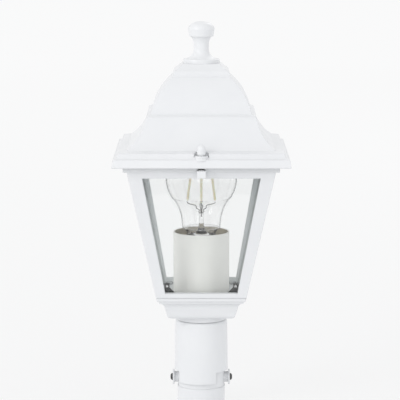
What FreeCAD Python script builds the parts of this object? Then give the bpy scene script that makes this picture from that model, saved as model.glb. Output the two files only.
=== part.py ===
import FreeCAD, Part
import math
import os

import Sketcher
from FreeCAD import Placement, Rotation, Vector

# Post top lantern: a square tapered cage with four panes on a stepped plinth, under a hollow bell
# roof with a finial, with a screw-in lamp in a sleeve. The plinth's neck is clamped to a collar,
# and the collar slips over the top of a round post.
# Millimetres, +Z up, -Y is the front. The origin is the middle of the post's lower end.

doc = FreeCAD.newDocument("PostTopLantern")
sheet = doc.addObject("Spreadsheet::Sheet", "Sizes")
pieces = []


class Size(float):
    """A length that carries the sheet expression that it comes from."""

    def __new__(cls, value, text):
        made = float.__new__(cls, value)
        made.text = text
        return made

    def __add__(self, other):
        return Size(float(self) + float(other), f"({self.text} + {text_of(other)})")

    def __radd__(self, other):
        return Size(float(other) + float(self), f"({text_of(other)} + {self.text})")

    def __sub__(self, other):
        return Size(float(self) - float(other), f"({self.text} - {text_of(other)})")

    def __rsub__(self, other):
        return Size(float(other) - float(self), f"({text_of(other)} - {self.text})")

    def __mul__(self, other):
        return Size(float(self) * float(other), f"({self.text} * {text_of(other)})")

    def __rmul__(self, other):
        return Size(float(other) * float(self), f"({text_of(other)} * {self.text})")

    def __truediv__(self, other):
        return Size(float(self) / float(other), f"({self.text} / {text_of(other)})")

    def __neg__(self):
        return Size(-float(self), f"(0 - {self.text})")


def text_of(number):
    """The expression of a Size, or the digits of a plain number."""
    return number.text if isinstance(number, Size) else repr(float(number))


def size(alias, value):
    """Write one driving dimension to the sheet and hand it back as a Size."""
    size.row += 1
    sheet.set(f"A{size.row}", alias)
    sheet.set(f"B{size.row}", str(value))
    sheet.setAlias(f"B{size.row}", alias)
    return Size(value, f"Sizes.{alias}")


size.row = 0


def root(number):
    """A square root that keeps its expression."""
    return Size(math.sqrt(float(number)), f"sqrt({text_of(number)})")


# Clearances.
running_fit = size("running_fit", 0.08)
loose_gap = size("loose_gap", 0.3)
seat_gap = size("seat_gap", 0.1)
press_gap = size("press_gap", 0.05)

# Post, and the two bosses that its clamp screws go into.
post_radius = size("post_radius", 20)
post_wall = size("post_wall", 2)
post_stub = size("post_stub", 22)
spigot_step = size("spigot_step", 0.5)
spigot_lead = size("spigot_lead", 0.3)
boss_radius = size("boss_radius", 4.5)
boss_depth = size("boss_depth", 1.5)

# Collar.
collar_height = size("collar_height", 52.5)
collar_wall = size("collar_wall", 3.12)
collar_taper = size("collar_taper", 0.7)
collar_deck = size("collar_deck", 8.5)
collar_round = size("collar_round", 2.5)
notch_half = size("notch_half", 16)
notch_height = size("notch_height", 9.4)
clamp_rise = size("clamp_rise", 2)
clamp_angle = size("clamp_angle", 0)
head_turn = size("head_turn", -11)

# Screws: one thread size for the clamp and roof screws, one for the small screws.
thread_radius = size("thread_radius", 2)
small_thread_radius = size("small_thread_radius", 1.5)
washer_radius = size("washer_radius", 6.5)
washer_thickness = size("washer_thickness", 1.4)
button_radius = size("button_radius", 3)
button_height = size("button_height", 2)
socket_radius = size("socket_radius", 1.45)
socket_depth = size("socket_depth", 1.2)
clamp_screw_length = size("clamp_screw_length", 11)
pan_radius = size("pan_radius", 2.8)
pan_height = size("pan_height", 1.8)
slot_width = size("slot_width", 0.8)

# Hollow threaded nipple through the neck, with its nuts.
nipple_radius = size("nipple_radius", 10)
nipple_wall = size("nipple_wall", 3)
nut_wall = size("nut_wall", 3.5)
nut_height = size("nut_height", 5)
lock_washer_thickness = size("lock_washer_thickness", 1.5)
lock_washer_rim = size("lock_washer_rim", 4)
nipple_spare = size("nipple_spare", 0.9)
bushing_wall = size("bushing_wall", 0.6)
bushing_depth = size("bushing_depth", 6)
bushing_lip = size("bushing_lip", 1)

# Stepped square plinth. Its half widths step in from the foot of the cage.
neck_inset = size("neck_inset", 1.2)
neck_height = size("neck_height", 4.8)
neck_gap = size("neck_gap", 0.3)
plinth_height = size("plinth_height", 16.2)
plinth_floor = size("plinth_floor", 5)
plinth_reveal = size("plinth_reveal", 1.4)
plinth_draft = size("plinth_draft", 0.3)
plinth_lip_step = size("plinth_lip_step", 4.6)
plinth_band_step = size("plinth_band_step", 1.7)
plinth_foot_step = size("plinth_foot_step", 4.2)
plinth_low_rise = size("plinth_low_rise", 4)
plinth_band_rise = size("plinth_band_rise", 9.6)
plinth_lip = size("plinth_lip", 1.6)
plinth_round = size("plinth_round", 4.6)
plinth_cove = size("plinth_cove", 5.4)
plinth_wall = size("plinth_wall", 2.4)

# Cage.
cage_low_half = size("cage_low_half", 36.6)
cage_slope = size("cage_slope", 0.2127)
cage_wall = size("cage_wall", 3.3)
cage_height = size("cage_height", 115.6)
cage_edge_round = size("cage_edge_round", 0.7)
cage_floor_thickness = size("cage_floor_thickness", 2.1)
cage_floor_ledge = size("cage_floor_ledge", 4.3)
groove_rise = size("groove_rise", 3.1)
groove_height = size("groove_height", 0.7)
groove_depth = size("groove_depth", 0.5)
flange_overhang = size("flange_overhang", 2.3)
flange_height = size("flange_height", 3.4)
window_rise = size("window_rise", 8)
window_drop = size("window_drop", 8.8)
corner_low_width = size("corner_low_width", 8.3)
corner_top_width = size("corner_top_width", 11.2)
sill_fall = size("sill_fall", 0.7)
lug_half = size("lug_half", 3.6)
lug_margin = size("lug_margin", 4)
lug_drop = size("lug_drop", 1.2)
lug_height = size("lug_height", 6)
gasket_inset = size("gasket_inset", 0.8)
gasket_width = size("gasket_width", 4)
gasket_thickness = size("gasket_thickness", 0.8)

# Panes, and the two corner clips that hold the front one.
pane_thickness = size("pane_thickness", 3)
pane_drop = size("pane_drop", 4)
clip_width = size("clip_width", 8)
clip_height = size("clip_height", 9.2)
clip_thickness = size("clip_thickness", 3)
clip_ear_width = size("clip_ear_width", 4)
clip_shoulder = size("clip_shoulder", 5.8)
clip_toe = size("clip_toe", 1.8)
clip_screw_radius = size("clip_screw_radius", 1.2)
clip_screw_inset = size("clip_screw_inset", 2)
clip_screw_rise = size("clip_screw_rise", 7)

# Floor plate.
plate_thickness = size("plate_thickness", 1.5)
plate_hole_margin = size("plate_hole_margin", 1.8)
plate_screw_inset = size("plate_screw_inset", 2)
plate_screw_length = size("plate_screw_length", 10)
holder_screw_inset = size("holder_screw_inset", 5.5)
holder_screw_length = size("holder_screw_length", 7)
earth_ring_radius = size("earth_ring_radius", 3.6)
earth_ring_thickness = size("earth_ring_thickness", 0.8)
earth_ring_margin = size("earth_ring_margin", 0.9)
earth_tongue = size("earth_tongue", 3)

# Leads and the terminal block that hangs in the post.
lead_radius = size("lead_radius", 1.2)
lead_margin = size("lead_margin", 0.2)
lead_bend = size("lead_bend", 5)
lead_grip = size("lead_grip", 6)
block_width = size("block_width", 18)
block_depth = size("block_depth", 10)
block_height = size("block_height", 16)
block_drop = size("block_drop", 11.1)
block_screw_length = size("block_screw_length", 2.4)
insert_wall = size("insert_wall", 0.5)
insert_end = size("insert_end", 1)

# Lampholder and its sleeve.
holder_wall = size("holder_wall", 5.37)
holder_height = size("holder_height", 43.6)
holder_floor = size("holder_floor", 12.6)
holder_round = size("holder_round", 2)
sleeve_gap = size("sleeve_gap", 2.8)
sleeve_wall = size("sleeve_wall", 1.2)
sleeve_height = size("sleeve_height", 50.6)
shell_wall = size("shell_wall", 0.8)
shell_height = size("shell_height", 28)
terminal_radius = size("terminal_radius", 2.8)
terminal_height = size("terminal_height", 6)
strap_half = size("strap_half", 1.3)
contact_width = size("contact_width", 4)
contact_thickness = size("contact_thickness", 0.8)
contact_rise = size("contact_rise", 3)
contact_button_radius = size("contact_button_radius", 2.2)

# Screw-in lamp: cap, glass, stem and four filaments.
cap_radius = size("cap_radius", 13.2)
cap_wall = size("cap_wall", 0.5)
cap_seat = size("cap_seat", 6)
cap_button_radius = size("cap_button_radius", 4.6)
cap_button_height = size("cap_button_height", 1.2)
cap_cone_height = size("cap_cone_height", 2.6)
cap_cone_inset = size("cap_cone_inset", 2)
cap_height = size("cap_height", 25)
cap_skirt = size("cap_skirt", 3)
cap_thread_pitch = size("cap_thread_pitch", 3.63)
cap_thread_depth = size("cap_thread_depth", 0.7)
bulb_radius = size("bulb_radius", 30)
bulb_rise = size("bulb_rise", 77)
bulb_waist_radius = size("bulb_waist_radius", 16.7)
bulb_waist_rise = size("bulb_waist_rise", 40.5)
bulb_waist_draft = size("bulb_waist_draft", 0.5)
bulb_shoulder_inset = size("bulb_shoulder_inset", 4.9)
bulb_shoulder_curve = size("bulb_shoulder_curve", 33)
bulb_neck_curve = size("bulb_neck_curve", 8.4)
bulb_neck_rise = size("bulb_neck_rise", 6.5)
bulb_neck_seat = size("bulb_neck_seat", 6)
glass_wall = size("glass_wall", 0.9)
stem_radius = size("stem_radius", 2)
stem_rise = size("stem_rise", 47.5)
stem_flare_curve = size("stem_flare_curve", 12)
filament_radius = size("filament_radius", 0.9)
filament_length = size("filament_length", 38)
filament_drop = size("filament_drop", 20.5)
filament_offset = size("filament_offset", 11.8)
filament_lean = size("filament_lean", 7.3)
wire_radius = size("wire_radius", 0.35)
wire_bead = size("wire_bead", 0.42)
wire_seat = size("wire_seat", 3)
wire_foot_reach = size("wire_foot_reach", 3.2)
wire_foot_rise = size("wire_foot_rise", 1.2)
wire_knee_reach = size("wire_knee_reach", 4)
wire_knee_rise = size("wire_knee_rise", 6.8)
wire_knee_stagger = size("wire_knee_stagger", 1.4)

# Roof: eave, flare, ridge, bell and cap plate.
eave_overhang = size("eave_overhang", 8.8)
eave_batter = size("eave_batter", 1)
eave_flange = size("eave_flange", 6.9)
eave_chamfer = size("eave_chamfer", 0.6)
cove_radius = size("cove_radius", 3.8)
cove_shelf = size("cove_shelf", 0.2)
ledge_lip = size("ledge_lip", 0.9)
ledge_fall = size("ledge_fall", 1.4)
ledge_width = size("ledge_width", 7.7)
flare_foot_round = size("flare_foot_round", 0.6)
flare_foot_rise = size("flare_foot_rise", 13.7)
flare_rise = size("flare_rise", 23.4)
flare_curve = size("flare_curve", 38)
ridge_half = size("ridge_half", 45)
ridge_face = size("ridge_face", 1.6)
ridge_height = size("ridge_height", 3.2)
ridge_batter = size("ridge_batter", 0.2)
bell_inset = size("bell_inset", 3.7)
bell_rise = size("bell_rise", 28.8)
bell_curve = size("bell_curve", 56)
bell_top_half = size("bell_top_half", 23.8)
cap_plate_inset = size("cap_plate_inset", 0.5)
cap_plate_step = size("cap_plate_step", 0.3)
cap_plate_edge = size("cap_plate_edge", 2.8)
cap_plate_round = size("cap_plate_round", 2.7)
cap_plate_round_rise = size("cap_plate_round_rise", 5.8)
cap_plate_curve = size("cap_plate_curve", 5)
crown_rise = size("crown_rise", 10.2)
crown_margin = size("crown_margin", 0.2)
roof_wall = size("roof_wall", 3.4)
channel_wall = size("channel_wall", 3.7)
channel_depth = size("channel_depth", 6)
channel_boss_half = size("channel_boss_half", 8)

# Roof screws: domed knob, neck, washer and retaining ring.
roof_screw_inset = size("roof_screw_inset", 5.3)
roof_washer_radius = size("roof_washer_radius", 5.6)
roof_boss_rise = size("roof_boss_rise", 1.6)
seat_margin = size("seat_margin", 0.4)
knob_radius = size("knob_radius", 3.5)
knob_height = size("knob_height", 7.8)
knob_neck = size("knob_neck", 1.1)
knob_undercut = size("knob_undercut", 1)
roof_screw_end_inset = size("roof_screw_end_inset", 0.8)
retainer_wall = size("retainer_wall", 0.6)
retainer_height = size("retainer_height", 1.2)
retainer_gap = size("retainer_gap", 0.2)

# Finial with its stud, washer and nut.
finial_flange_radius = size("finial_flange_radius", 15.2)
finial_flange_height = size("finial_flange_height", 3.4)
finial_flange_round = size("finial_flange_round", 0.8)
finial_foot_inset = size("finial_foot_inset", 2.4)
finial_foot_step = size("finial_foot_step", 0.3)
finial_foot_curve = size("finial_foot_curve", 8.2)
finial_neck_radius = size("finial_neck_radius", 6.25)
finial_neck_rise = size("finial_neck_rise", 11.6)
finial_neck_length = size("finial_neck_length", 3.4)
finial_throat_flare = size("finial_throat_flare", 2.15)
finial_throat_rise = size("finial_throat_rise", 7)
finial_throat_edge = size("finial_throat_edge", 0.6)
finial_throat_curve = size("finial_throat_curve", 9.5)
finial_knob_radius = size("finial_knob_radius", 10.95)
finial_knob_taper = size("finial_knob_taper", 0.95)
finial_knob_rise = size("finial_knob_rise", 6)
finial_dome_rise = size("finial_dome_rise", 6.4)
finial_dome_inset = size("finial_dome_inset", 2.75)
finial_dome_edge_curve = size("finial_dome_edge_curve", 5.6)
finial_dome_curve = size("finial_dome_curve", 18.4)
stud_radius = size("stud_radius", 2.5)
stud_above = size("stud_above", 14)
stud_below = size("stud_below", 4.9)
stud_nut_wall = size("stud_nut_wall", 1.5)
stud_nut_height = size("stud_nut_height", 4)
stud_washer_radius = size("stud_washer_radius", 5)
stud_washer_thickness = size("stud_washer_thickness", 0.8)

# How far a cutting tool stands clear of what it cuts.
overcut = size("overcut", 1)

doc.recompute()


def cage_half(level):
    """The cage's outer half width at a height."""
    return cage_low_half + (level - plinth_top) * cage_slope


def cage_inner_half(level):
    """The half width inside the cage's walls at a height."""
    return cage_half(level) - cage_wall


# Heights that several pieces share, from the post's lower end upwards.
collar_low = post_stub
collar_top = collar_low + collar_height
clamp_level = collar_low + clamp_rise
spigot_low = clamp_level - washer_radius - spigot_lead
notch_top = collar_low + notch_height
post_top = collar_top - collar_deck - loose_gap
collar_deck_low = collar_top - collar_deck
nipple_low = collar_deck_low - nut_height - nipple_spare
plinth_low = collar_top + neck_gap + neck_height
plinth_floor_top = plinth_low + plinth_floor
nipple_top = plinth_floor_top + lock_washer_thickness + nut_height + nipple_spare
plinth_top = plinth_low + plinth_height
cage_floor_top = plinth_top + cage_floor_thickness
plate_top = cage_floor_top + plate_thickness
cage_top = plinth_top + cage_height
sleeve_top = plate_top + sleeve_height
window_low = plinth_top + window_rise
window_top = cage_top - window_drop
lug_top = cage_top - lug_drop
holder_pocket = plate_top + holder_floor
shell_low = holder_pocket + contact_thickness
cap_low = holder_pocket + cap_seat
bulb_centre = cap_low + bulb_rise
bulb_waist_level = cap_low + bulb_waist_rise
stem_top = cap_low + stem_rise
filament_low = bulb_centre - filament_drop
eave_low = cage_top + gasket_thickness + seat_gap
flange_top = eave_low + eave_flange
flare_foot = eave_low + flare_foot_rise
ridge_low = flare_foot + flare_rise
ridge_top = ridge_low + ridge_height
bell_top = ridge_top + bell_rise
roof_crown = bell_top + crown_rise
roof_screw_seat = flange_top + roof_boss_rise
roof_screw_end = lug_top - lug_height + roof_screw_end_inset
finial_neck_low = roof_crown + finial_neck_rise
finial_neck_top = finial_neck_low + finial_neck_length
finial_knob_low = finial_neck_top + finial_throat_rise
finial_knob_level = finial_knob_low + finial_knob_rise
finial_top = finial_knob_level + finial_dome_rise

# Radii and half widths that several pieces share.
spigot_radius = post_radius - spigot_step
collar_bore = spigot_radius + running_fit
collar_low_radius = collar_bore + collar_wall
collar_top_radius = collar_low_radius - collar_taper
clamp_seat = collar_low_radius + seat_gap
clamp_head_seat = clamp_seat + washer_thickness
nipple_bore = nipple_radius - nipple_wall
nut_across_flats = (nipple_radius + nut_wall) * 2
lock_washer_radius = nipple_radius + lock_washer_rim
lead_pitch = nipple_bore - bushing_wall - lead_radius - lead_margin
neck_radius = collar_top_radius - neck_inset
plinth_top_half = cage_low_half - plinth_reveal
plinth_lip_half = plinth_top_half - plinth_draft
plinth_band_half = plinth_lip_half - plinth_lip_step
plinth_low_half = plinth_band_half - plinth_band_step
plinth_foot_half = plinth_low_half - plinth_foot_step
plinth_cavity_radius = plinth_foot_half - plinth_wall
cage_floor_half = cage_low_half - cage_wall - cage_floor_ledge
flange_half = cage_half(cage_top) + flange_overhang
window_low_half = cage_half(window_low) - corner_low_width
window_top_half = cage_half(window_top) - corner_top_width
plate_hole_radius = lead_pitch + lead_radius + plate_hole_margin
plate_screw_offset = cage_floor_half - plate_screw_inset
earth_offset = plinth_cavity_radius - earth_ring_radius - earth_ring_margin
holder_bore = cap_radius + running_fit + shell_wall + press_gap
holder_radius = holder_bore + holder_wall
holder_screw_offset = holder_radius - holder_screw_inset
sleeve_radius = holder_radius + sleeve_gap + sleeve_wall
bulb_shoulder_half = bulb_radius - bulb_shoulder_inset
eave_half = flange_half + eave_overhang
eave_flange_half = eave_half - eave_batter
ledge_half = eave_flange_half - cove_shelf - cove_radius
flare_foot_half = ledge_half - ledge_width
bell_low_half = ridge_half - bell_inset
cap_plate_half = bell_top_half - cap_plate_inset
cap_plate_round_half = cap_plate_half - cap_plate_round
roof_crown_half = finial_flange_radius + crown_margin
channel_inner = flange_half - seat_gap
channel_outer = eave_half - channel_wall
roof_screw_offset = eave_half - roof_screw_inset
lug_reach = roof_screw_offset + lug_margin
quarter_turns = (0, 90, 180, 270)


# ---- Helpers ----

def named(thing, label):
    """Give a finished sub-part its label and list it for export."""
    thing.Label = label
    pieces.append(thing)
    return thing


def bind(thing, **fields):
    """Set properties and bind them to their expressions."""
    for field, number in fields.items():
        setattr(thing, field, float(number))
        if isinstance(number, Size):
            thing.setExpression(field, number.text)


def place(thing, x=0.0, y=0.0, z=0.0, turn=None):
    """Place an object and bind the place to its expressions."""
    thing.Placement = Placement(Vector(float(x), float(y), float(z)), turn or Rotation())
    for axis, number in (("x", x), ("y", y), ("z", z)):
        if isinstance(number, Size):
            thing.setExpression(f"Placement.Base.{axis}", number.text)
    return thing


def block(name, low, high):
    """A box between two opposite corners."""
    box = doc.addObject("Part::Box", name)
    bind(box, Length=high[0] - low[0], Width=high[1] - low[1], Height=high[2] - low[2])
    return place(box, *low)


def rod(name, radius, height, x=0.0, y=0.0, z=0.0, turn=None):
    """A cylinder from a point along Z, or along the way that turn gives."""
    cylinder = doc.addObject("Part::Cylinder", name)
    bind(cylinder, Radius=radius, Height=height)
    return place(cylinder, x, y, z, turn)


def joined(name, things):
    """Several overlapping or touching shapes made one."""
    union = doc.addObject("Part::MultiFuse", name)
    union.Shapes = list(things)
    return union


def grouped(name, things):
    """Separate solids kept in one node."""
    group = doc.addObject("Part::Compound", name)
    group.Links = list(things)
    return group


def cut(name, base, *tools):
    """A shape less one or more tools."""
    less = doc.addObject("Part::Cut", name)
    less.Base = base
    less.Tool = tools[0] if len(tools) == 1 else grouped(name + "Tools", tools)
    return less


def overlap(name, first, second):
    """What two shapes have in common."""
    both = doc.addObject("Part::Common", name)
    both.Base = first
    both.Tool = second
    return both


def plane_of(body, role):
    """One of a body's own origin planes."""
    return next(plane for plane in body.Origin.OriginFeatures if plane.Role == role)


def pin_vertex(sketch, line, end, x, y):
    """Fix one end of a line or arc by its distances from the sketch's origin."""
    for kind, axis, number in (("DistanceX", -2, x), ("DistanceY", -1, y)):
        if float(number) == 0.0:
            sketch.addConstraint(Sketcher.Constraint("PointOnObject", line, end, axis))
            continue
        where = sketch.addConstraint(Sketcher.Constraint(kind, -1, 1, line, end, float(number)))
        if isinstance(number, Size):
            sketch.setExpression(f"Constraints[{where}]", number.text)


def outline(sketch, steps):
    """Draw a closed outline. A step is (x, y), or (x, y, radius) where an arc leads to it; the arc's
    centre is on the left of the way for a positive radius and on the right for a negative one."""
    count = len(steps)
    ends = []
    for index, step in enumerate(steps):
        before = steps[index - 1]
        start = Vector(float(before[0]), float(before[1]), 0)
        stop = Vector(float(step[0]), float(step[1]), 0)
        if len(step) == 2:
            line = sketch.addGeometry(Part.LineSegment(start, stop), False)
            ends.append((line, 1, 2))
            continue
        radius = step[2]
        way = stop - start
        side = math.copysign(1, radius)
        reach = math.sqrt(max(float(radius) ** 2 - (way.Length / 2) ** 2, 0))
        centre = (start + stop) * 0.5 + Vector(-way.y, way.x, 0).normalize() * side * reach
        first, last = (start, stop) if side > 0 else (stop, start)
        first_angle = math.atan2(first.y - centre.y, first.x - centre.x)
        last_angle = math.atan2(last.y - centre.y, last.x - centre.x)
        circle = Part.Circle(centre, Vector(0, 0, 1), abs(float(radius)))
        line = sketch.addGeometry(Part.ArcOfCircle(circle, first_angle, last_angle), False)
        ends.append((line, 1, 2) if side > 0 else (line, 2, 1))
        where = sketch.addConstraint(Sketcher.Constraint("Radius", line, abs(float(radius))))
        if isinstance(radius, Size):
            sketch.setExpression(f"Constraints[{where}]", (radius if side > 0 else -radius).text)
    for index in range(count):
        line, start_end, stop_end = ends[index]
        after_line, after_start, after_stop = ends[(index + 1) % count]
        join = Sketcher.Constraint("Coincident", line, stop_end, after_line, after_start)
        sketch.addConstraint(join)
        pin_vertex(sketch, line, stop_end, steps[index][0], steps[index][1])


def sketched(name, role, steps):
    """A new body with one closed sketch on one of its origin planes."""
    body = doc.addObject("PartDesign::Body", name)
    sketch = body.newObject("Sketcher::SketchObject", name + "Outline")
    sketch.AttachmentSupport = [(plane_of(body, role), "")]
    sketch.MapMode = "FlatFace"
    outline(sketch, steps)
    return body, sketch


def turned(name, steps):
    """A body of revolution about Z from an outline of radius and height."""
    body, sketch = sketched(name, "XZ_Plane", steps)
    spin = body.newObject("PartDesign::Revolution", name + "Turn")
    spin.Profile = (sketch, [""])
    spin.ReferenceAxis = (sketch, ["V_Axis"])
    spin.Angle = 360
    return body


def padded(name, role, steps, length):
    """A body extruded both ways from one of its origin planes."""
    body, sketch = sketched(name, role, steps)
    pad = body.newObject("PartDesign::Pad", name + "Pad")
    pad.Profile = (sketch, [""])
    pad.SideType = "Symmetric"
    bind(pad, Length=length)
    return body


def mirrored(half):
    """The whole outline of a shape from the steps up its right side."""
    steps = [step[:2] if index == 0 else step for index, step in enumerate(half)]
    bends = [step[2:] for step in half[1:]] + [()]
    for step, bend in zip(reversed(half), reversed(bends)):
        steps.append((-step[0], step[1]) + bend)
    return steps


def square_plan(name, half):
    """A shape with a square plan, whose four sides follow the steps up its right side."""
    widest = max(half, key=lambda step: float(step[0]))[0]
    length = widest * 2 + overcut * 2
    front = padded(name + "Front", "XZ_Plane", mirrored(half), length)
    side = padded(name + "Side", "YZ_Plane", mirrored(half), length)
    return overlap(name, front, side)


def hexagon(name, across_flats, height, x=0.0, y=0.0, z=0.0):
    """A six-sided prism."""
    prism = doc.addObject("Part::Prism", name)
    prism.Polygon = 6
    bind(prism, Circumradius=across_flats / math.sqrt(3), Height=height)
    return place(prism, x, y, z)


def ring(name, outer, inner, height, z):
    """A plain tube or flat washer on the lantern's axis."""
    return turned(name, [(inner, z), (outer, z), (outer, z + height), (inner, z + height)])


def tube_along(name, radius, edges):
    """A round bar along a path of lines and arcs, as a plain shape."""
    path = Part.Wire(edges)
    start = edges[0].valueAt(edges[0].FirstParameter)
    heading = edges[0].tangentAt(edges[0].FirstParameter)
    section = Part.Wire([Part.makeCircle(float(radius), start, heading)])
    bar = doc.addObject("Part::Feature", name)
    bar.Shape = path.makePipeShell([section], True, False)
    return bar


def wire_between(name, start, stop):
    """A straight support wire with a welded bead on its far end."""
    way = stop - start
    turn = Rotation(Vector(0, 0, 1), way)
    bar = rod(name, wire_radius, way.Length, start.x, start.y, start.z, turn)
    ball = doc.addObject("Part::Sphere", name + "End")
    bind(ball, Radius=wire_bead)
    place(ball, stop.x, stop.y, stop.z)
    return [bar, ball]


def outward(side):
    """The turn that points local Z away from the post at one of the two clamp screws."""
    upright = Rotation(Vector(0, 1, 0), 90)
    return Rotation(Vector(0, 0, 1), float(clamp_angle) + (0 if side > 0 else 180)) * upright


def clamp_place(side, distance):
    """A point on a clamp screw's axis at a distance from the post's axis."""
    angle = math.radians(float(clamp_angle))
    return Vector(side * float(distance) * math.cos(angle),
                  side * float(distance) * math.sin(angle), float(clamp_level))


def on_clamp_axis(thing, side, distance):
    """Put an object on a clamp screw's axis, facing outwards."""
    thing.Placement = Placement(clamp_place(side, distance), outward(side))
    return thing


# ---- Post and clamp ----

def make_post():
    inner = post_radius - post_wall
    tube = turned("PostTube", [
        (inner, 0.0), (post_radius, 0.0), (post_radius, spigot_low), (spigot_radius, spigot_low),
        (spigot_radius, post_top), (inner, post_top)])
    depth = post_wall + boss_depth * 2
    holes = [on_clamp_axis(rod(f"PostHole{side}", boss_radius + press_gap, depth), side,
                           post_radius - post_wall - boss_depth) for side in (1, -1)]
    named(cut("PostTubeDrilled", tube, *holes), "post_tube")


def make_bosses():
    inner = post_radius - post_wall - boss_depth
    length = clamp_seat - inner
    bosses = []
    for side in (1, -1):
        boss = rod(f"Boss{side}", boss_radius, length)
        bore = rod(f"BossBore{side}", thread_radius + running_fit, length)
        made = cut(f"BossMade{side}", boss, bore)
        bosses.append(on_clamp_axis(made, side, inner))
    named(grouped("PostScrewBosses", bosses), "post_screw_bosses")


def make_clamp_washers():
    washers = []
    for side in (1, -1):
        disc = rod(f"ClampDisc{side}", washer_radius, washer_thickness)
        bore = rod(f"ClampDiscBore{side}", thread_radius + running_fit, washer_thickness)
        washers.append(on_clamp_axis(cut(f"ClampWasher{side}", disc, bore), side, clamp_seat))
    named(grouped("ClampWashers", washers), "clamp_washers")


def make_clamp_screw(side, label):
    rise = button_height
    head = [(0.0, -clamp_screw_length), (thread_radius, -clamp_screw_length), (thread_radius, 0.0),
            (button_radius, 0.0), (button_radius, rise * 0.35),
            (button_radius * 0.5, rise, button_radius * 0.9), (0.0, rise)]
    screw = turned(f"ClampScrewTurned{side}", head)
    drive = hexagon(f"ClampDrive{side}", socket_radius * math.sqrt(3), socket_depth + 1,
                    0.0, 0.0, rise - socket_depth)
    made = cut(f"ClampScrew{side}", screw, drive)
    named(on_clamp_axis(made, side, clamp_head_seat), label)


# ---- Collar and neck ----

def make_collar():
    bore = collar_bore
    deck = collar_deck_low
    hole = nipple_radius + running_fit
    sleeve = turned("CollarTurned", [
        (bore, collar_low), (collar_low_radius, collar_low),
        (collar_top_radius, collar_top - collar_round),
        (collar_top_radius - collar_round, collar_top, collar_round),
        (hole, collar_top), (hole, deck), (bore, deck)])
    notch = padded("CollarNotch", "XZ_Plane", mirrored([
        (collar_low_radius * 2, collar_low - overcut), (collar_low_radius * 2, notch_top)]),
        notch_half * 2)
    # The head stands turned a little from the line of the screws in the post.
    turn = float(clamp_angle) + float(head_turn)
    notch.Placement = Placement(Vector(), Rotation(Vector(0, 0, 1), turn))
    named(cut("Collar", sleeve, notch), "collar")


def make_neck_parts():
    fit_hole = nipple_radius + running_fit
    deck = collar_deck_low
    named(ring("NeckNipple", nipple_radius, nipple_bore, nipple_top - nipple_low, nipple_low),
          "neck_nipple")
    lower = hexagon("LowerNutHex", nut_across_flats, nut_height, 0.0, 0.0, deck - nut_height)
    lower_bore = rod("LowerNutBore", fit_hole, nut_height, 0.0, 0.0, deck - nut_height)
    named(cut("LowerNut", lower, lower_bore), "neck_nut_lower")
    washer_low = plinth_floor_top
    named(ring("LockWasher", lock_washer_radius, fit_hole, lock_washer_thickness, washer_low),
          "neck_lock_washer")
    upper_low = washer_low + lock_washer_thickness
    upper = hexagon("UpperNutHex", nut_across_flats, nut_height, 0.0, 0.0, upper_low)
    upper_bore = rod("UpperNutBore", fit_hole, nut_height, 0.0, 0.0, upper_low)
    named(cut("UpperNut", upper, upper_bore), "neck_nut_upper")
    inner = nipple_bore - bushing_wall
    named(turned("LeadBushing", [
        (inner, nipple_top - bushing_depth), (nipple_bore, nipple_top - bushing_depth),
        (nipple_bore, nipple_top), (nipple_radius, nipple_top),
        (nipple_radius, nipple_top + bushing_lip), (inner, nipple_top + bushing_lip)]),
        "lead_bushing")


def make_plinth():
    low_shoulder = plinth_low + plinth_low_rise
    band = plinth_low + plinth_band_rise
    outer = square_plan("PlinthOuter", [
        (plinth_foot_half, plinth_low), (plinth_low_half, low_shoulder, plinth_round),
        (plinth_band_half, band), (plinth_lip_half, plinth_top - plinth_lip, -plinth_cove),
        (plinth_top_half, plinth_top)])
    neck = rod("PlinthNeck", neck_radius, neck_height + overcut, 0.0, 0.0, collar_top + neck_gap)
    body = joined("PlinthBody", [outer, neck])
    bore = rod("PlinthBore", nipple_radius + running_fit, plinth_floor_top - collar_top + overcut,
               0.0, 0.0, collar_top)
    cavity = rod("PlinthCavity", plinth_cavity_radius, plinth_top - plinth_floor_top + overcut,
                 0.0, 0.0, plinth_floor_top)
    holes = corner_rods("PlinthScrewHole", small_thread_radius, plate_screw_length,
                        plate_top - plate_screw_length)
    named(cut("Plinth", body, bore, cavity, *holes), "base_plinth")


def corner_rods(name, radius, height, z):
    """Four upright bars at the floor plate's screw places."""
    return [rod(f"{name}{x}{y}".replace("-", "m"), radius, height,
                plate_screw_offset * x, plate_screw_offset * y, z)
            for x in (1, -1) for y in (1, -1)]


# ---- Cage, panes and clips ----

def window_prism(name, role):
    """The tool that opens two facing windows."""
    steps = mirrored([(window_low_half, window_low), (window_top_half, window_top)])
    return padded(name, role, steps, flange_half * 4)


def sill_wedge(name, turn):
    """The tool that slopes a window's sill outwards."""
    low = window_low - sill_fall
    outer = cage_half(window_low)
    reach = outer + cage_wall
    steps = [(-reach, low), (-outer, low + seat_gap * 2), (cage_wall - outer, window_low + seat_gap),
             (-reach, window_low + seat_gap)]
    wedge = padded(name, "YZ_Plane", steps, window_low_half * 2)
    wedge.Placement = Placement(Vector(), Rotation(Vector(0, 0, 1), turn))
    return wedge


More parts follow.
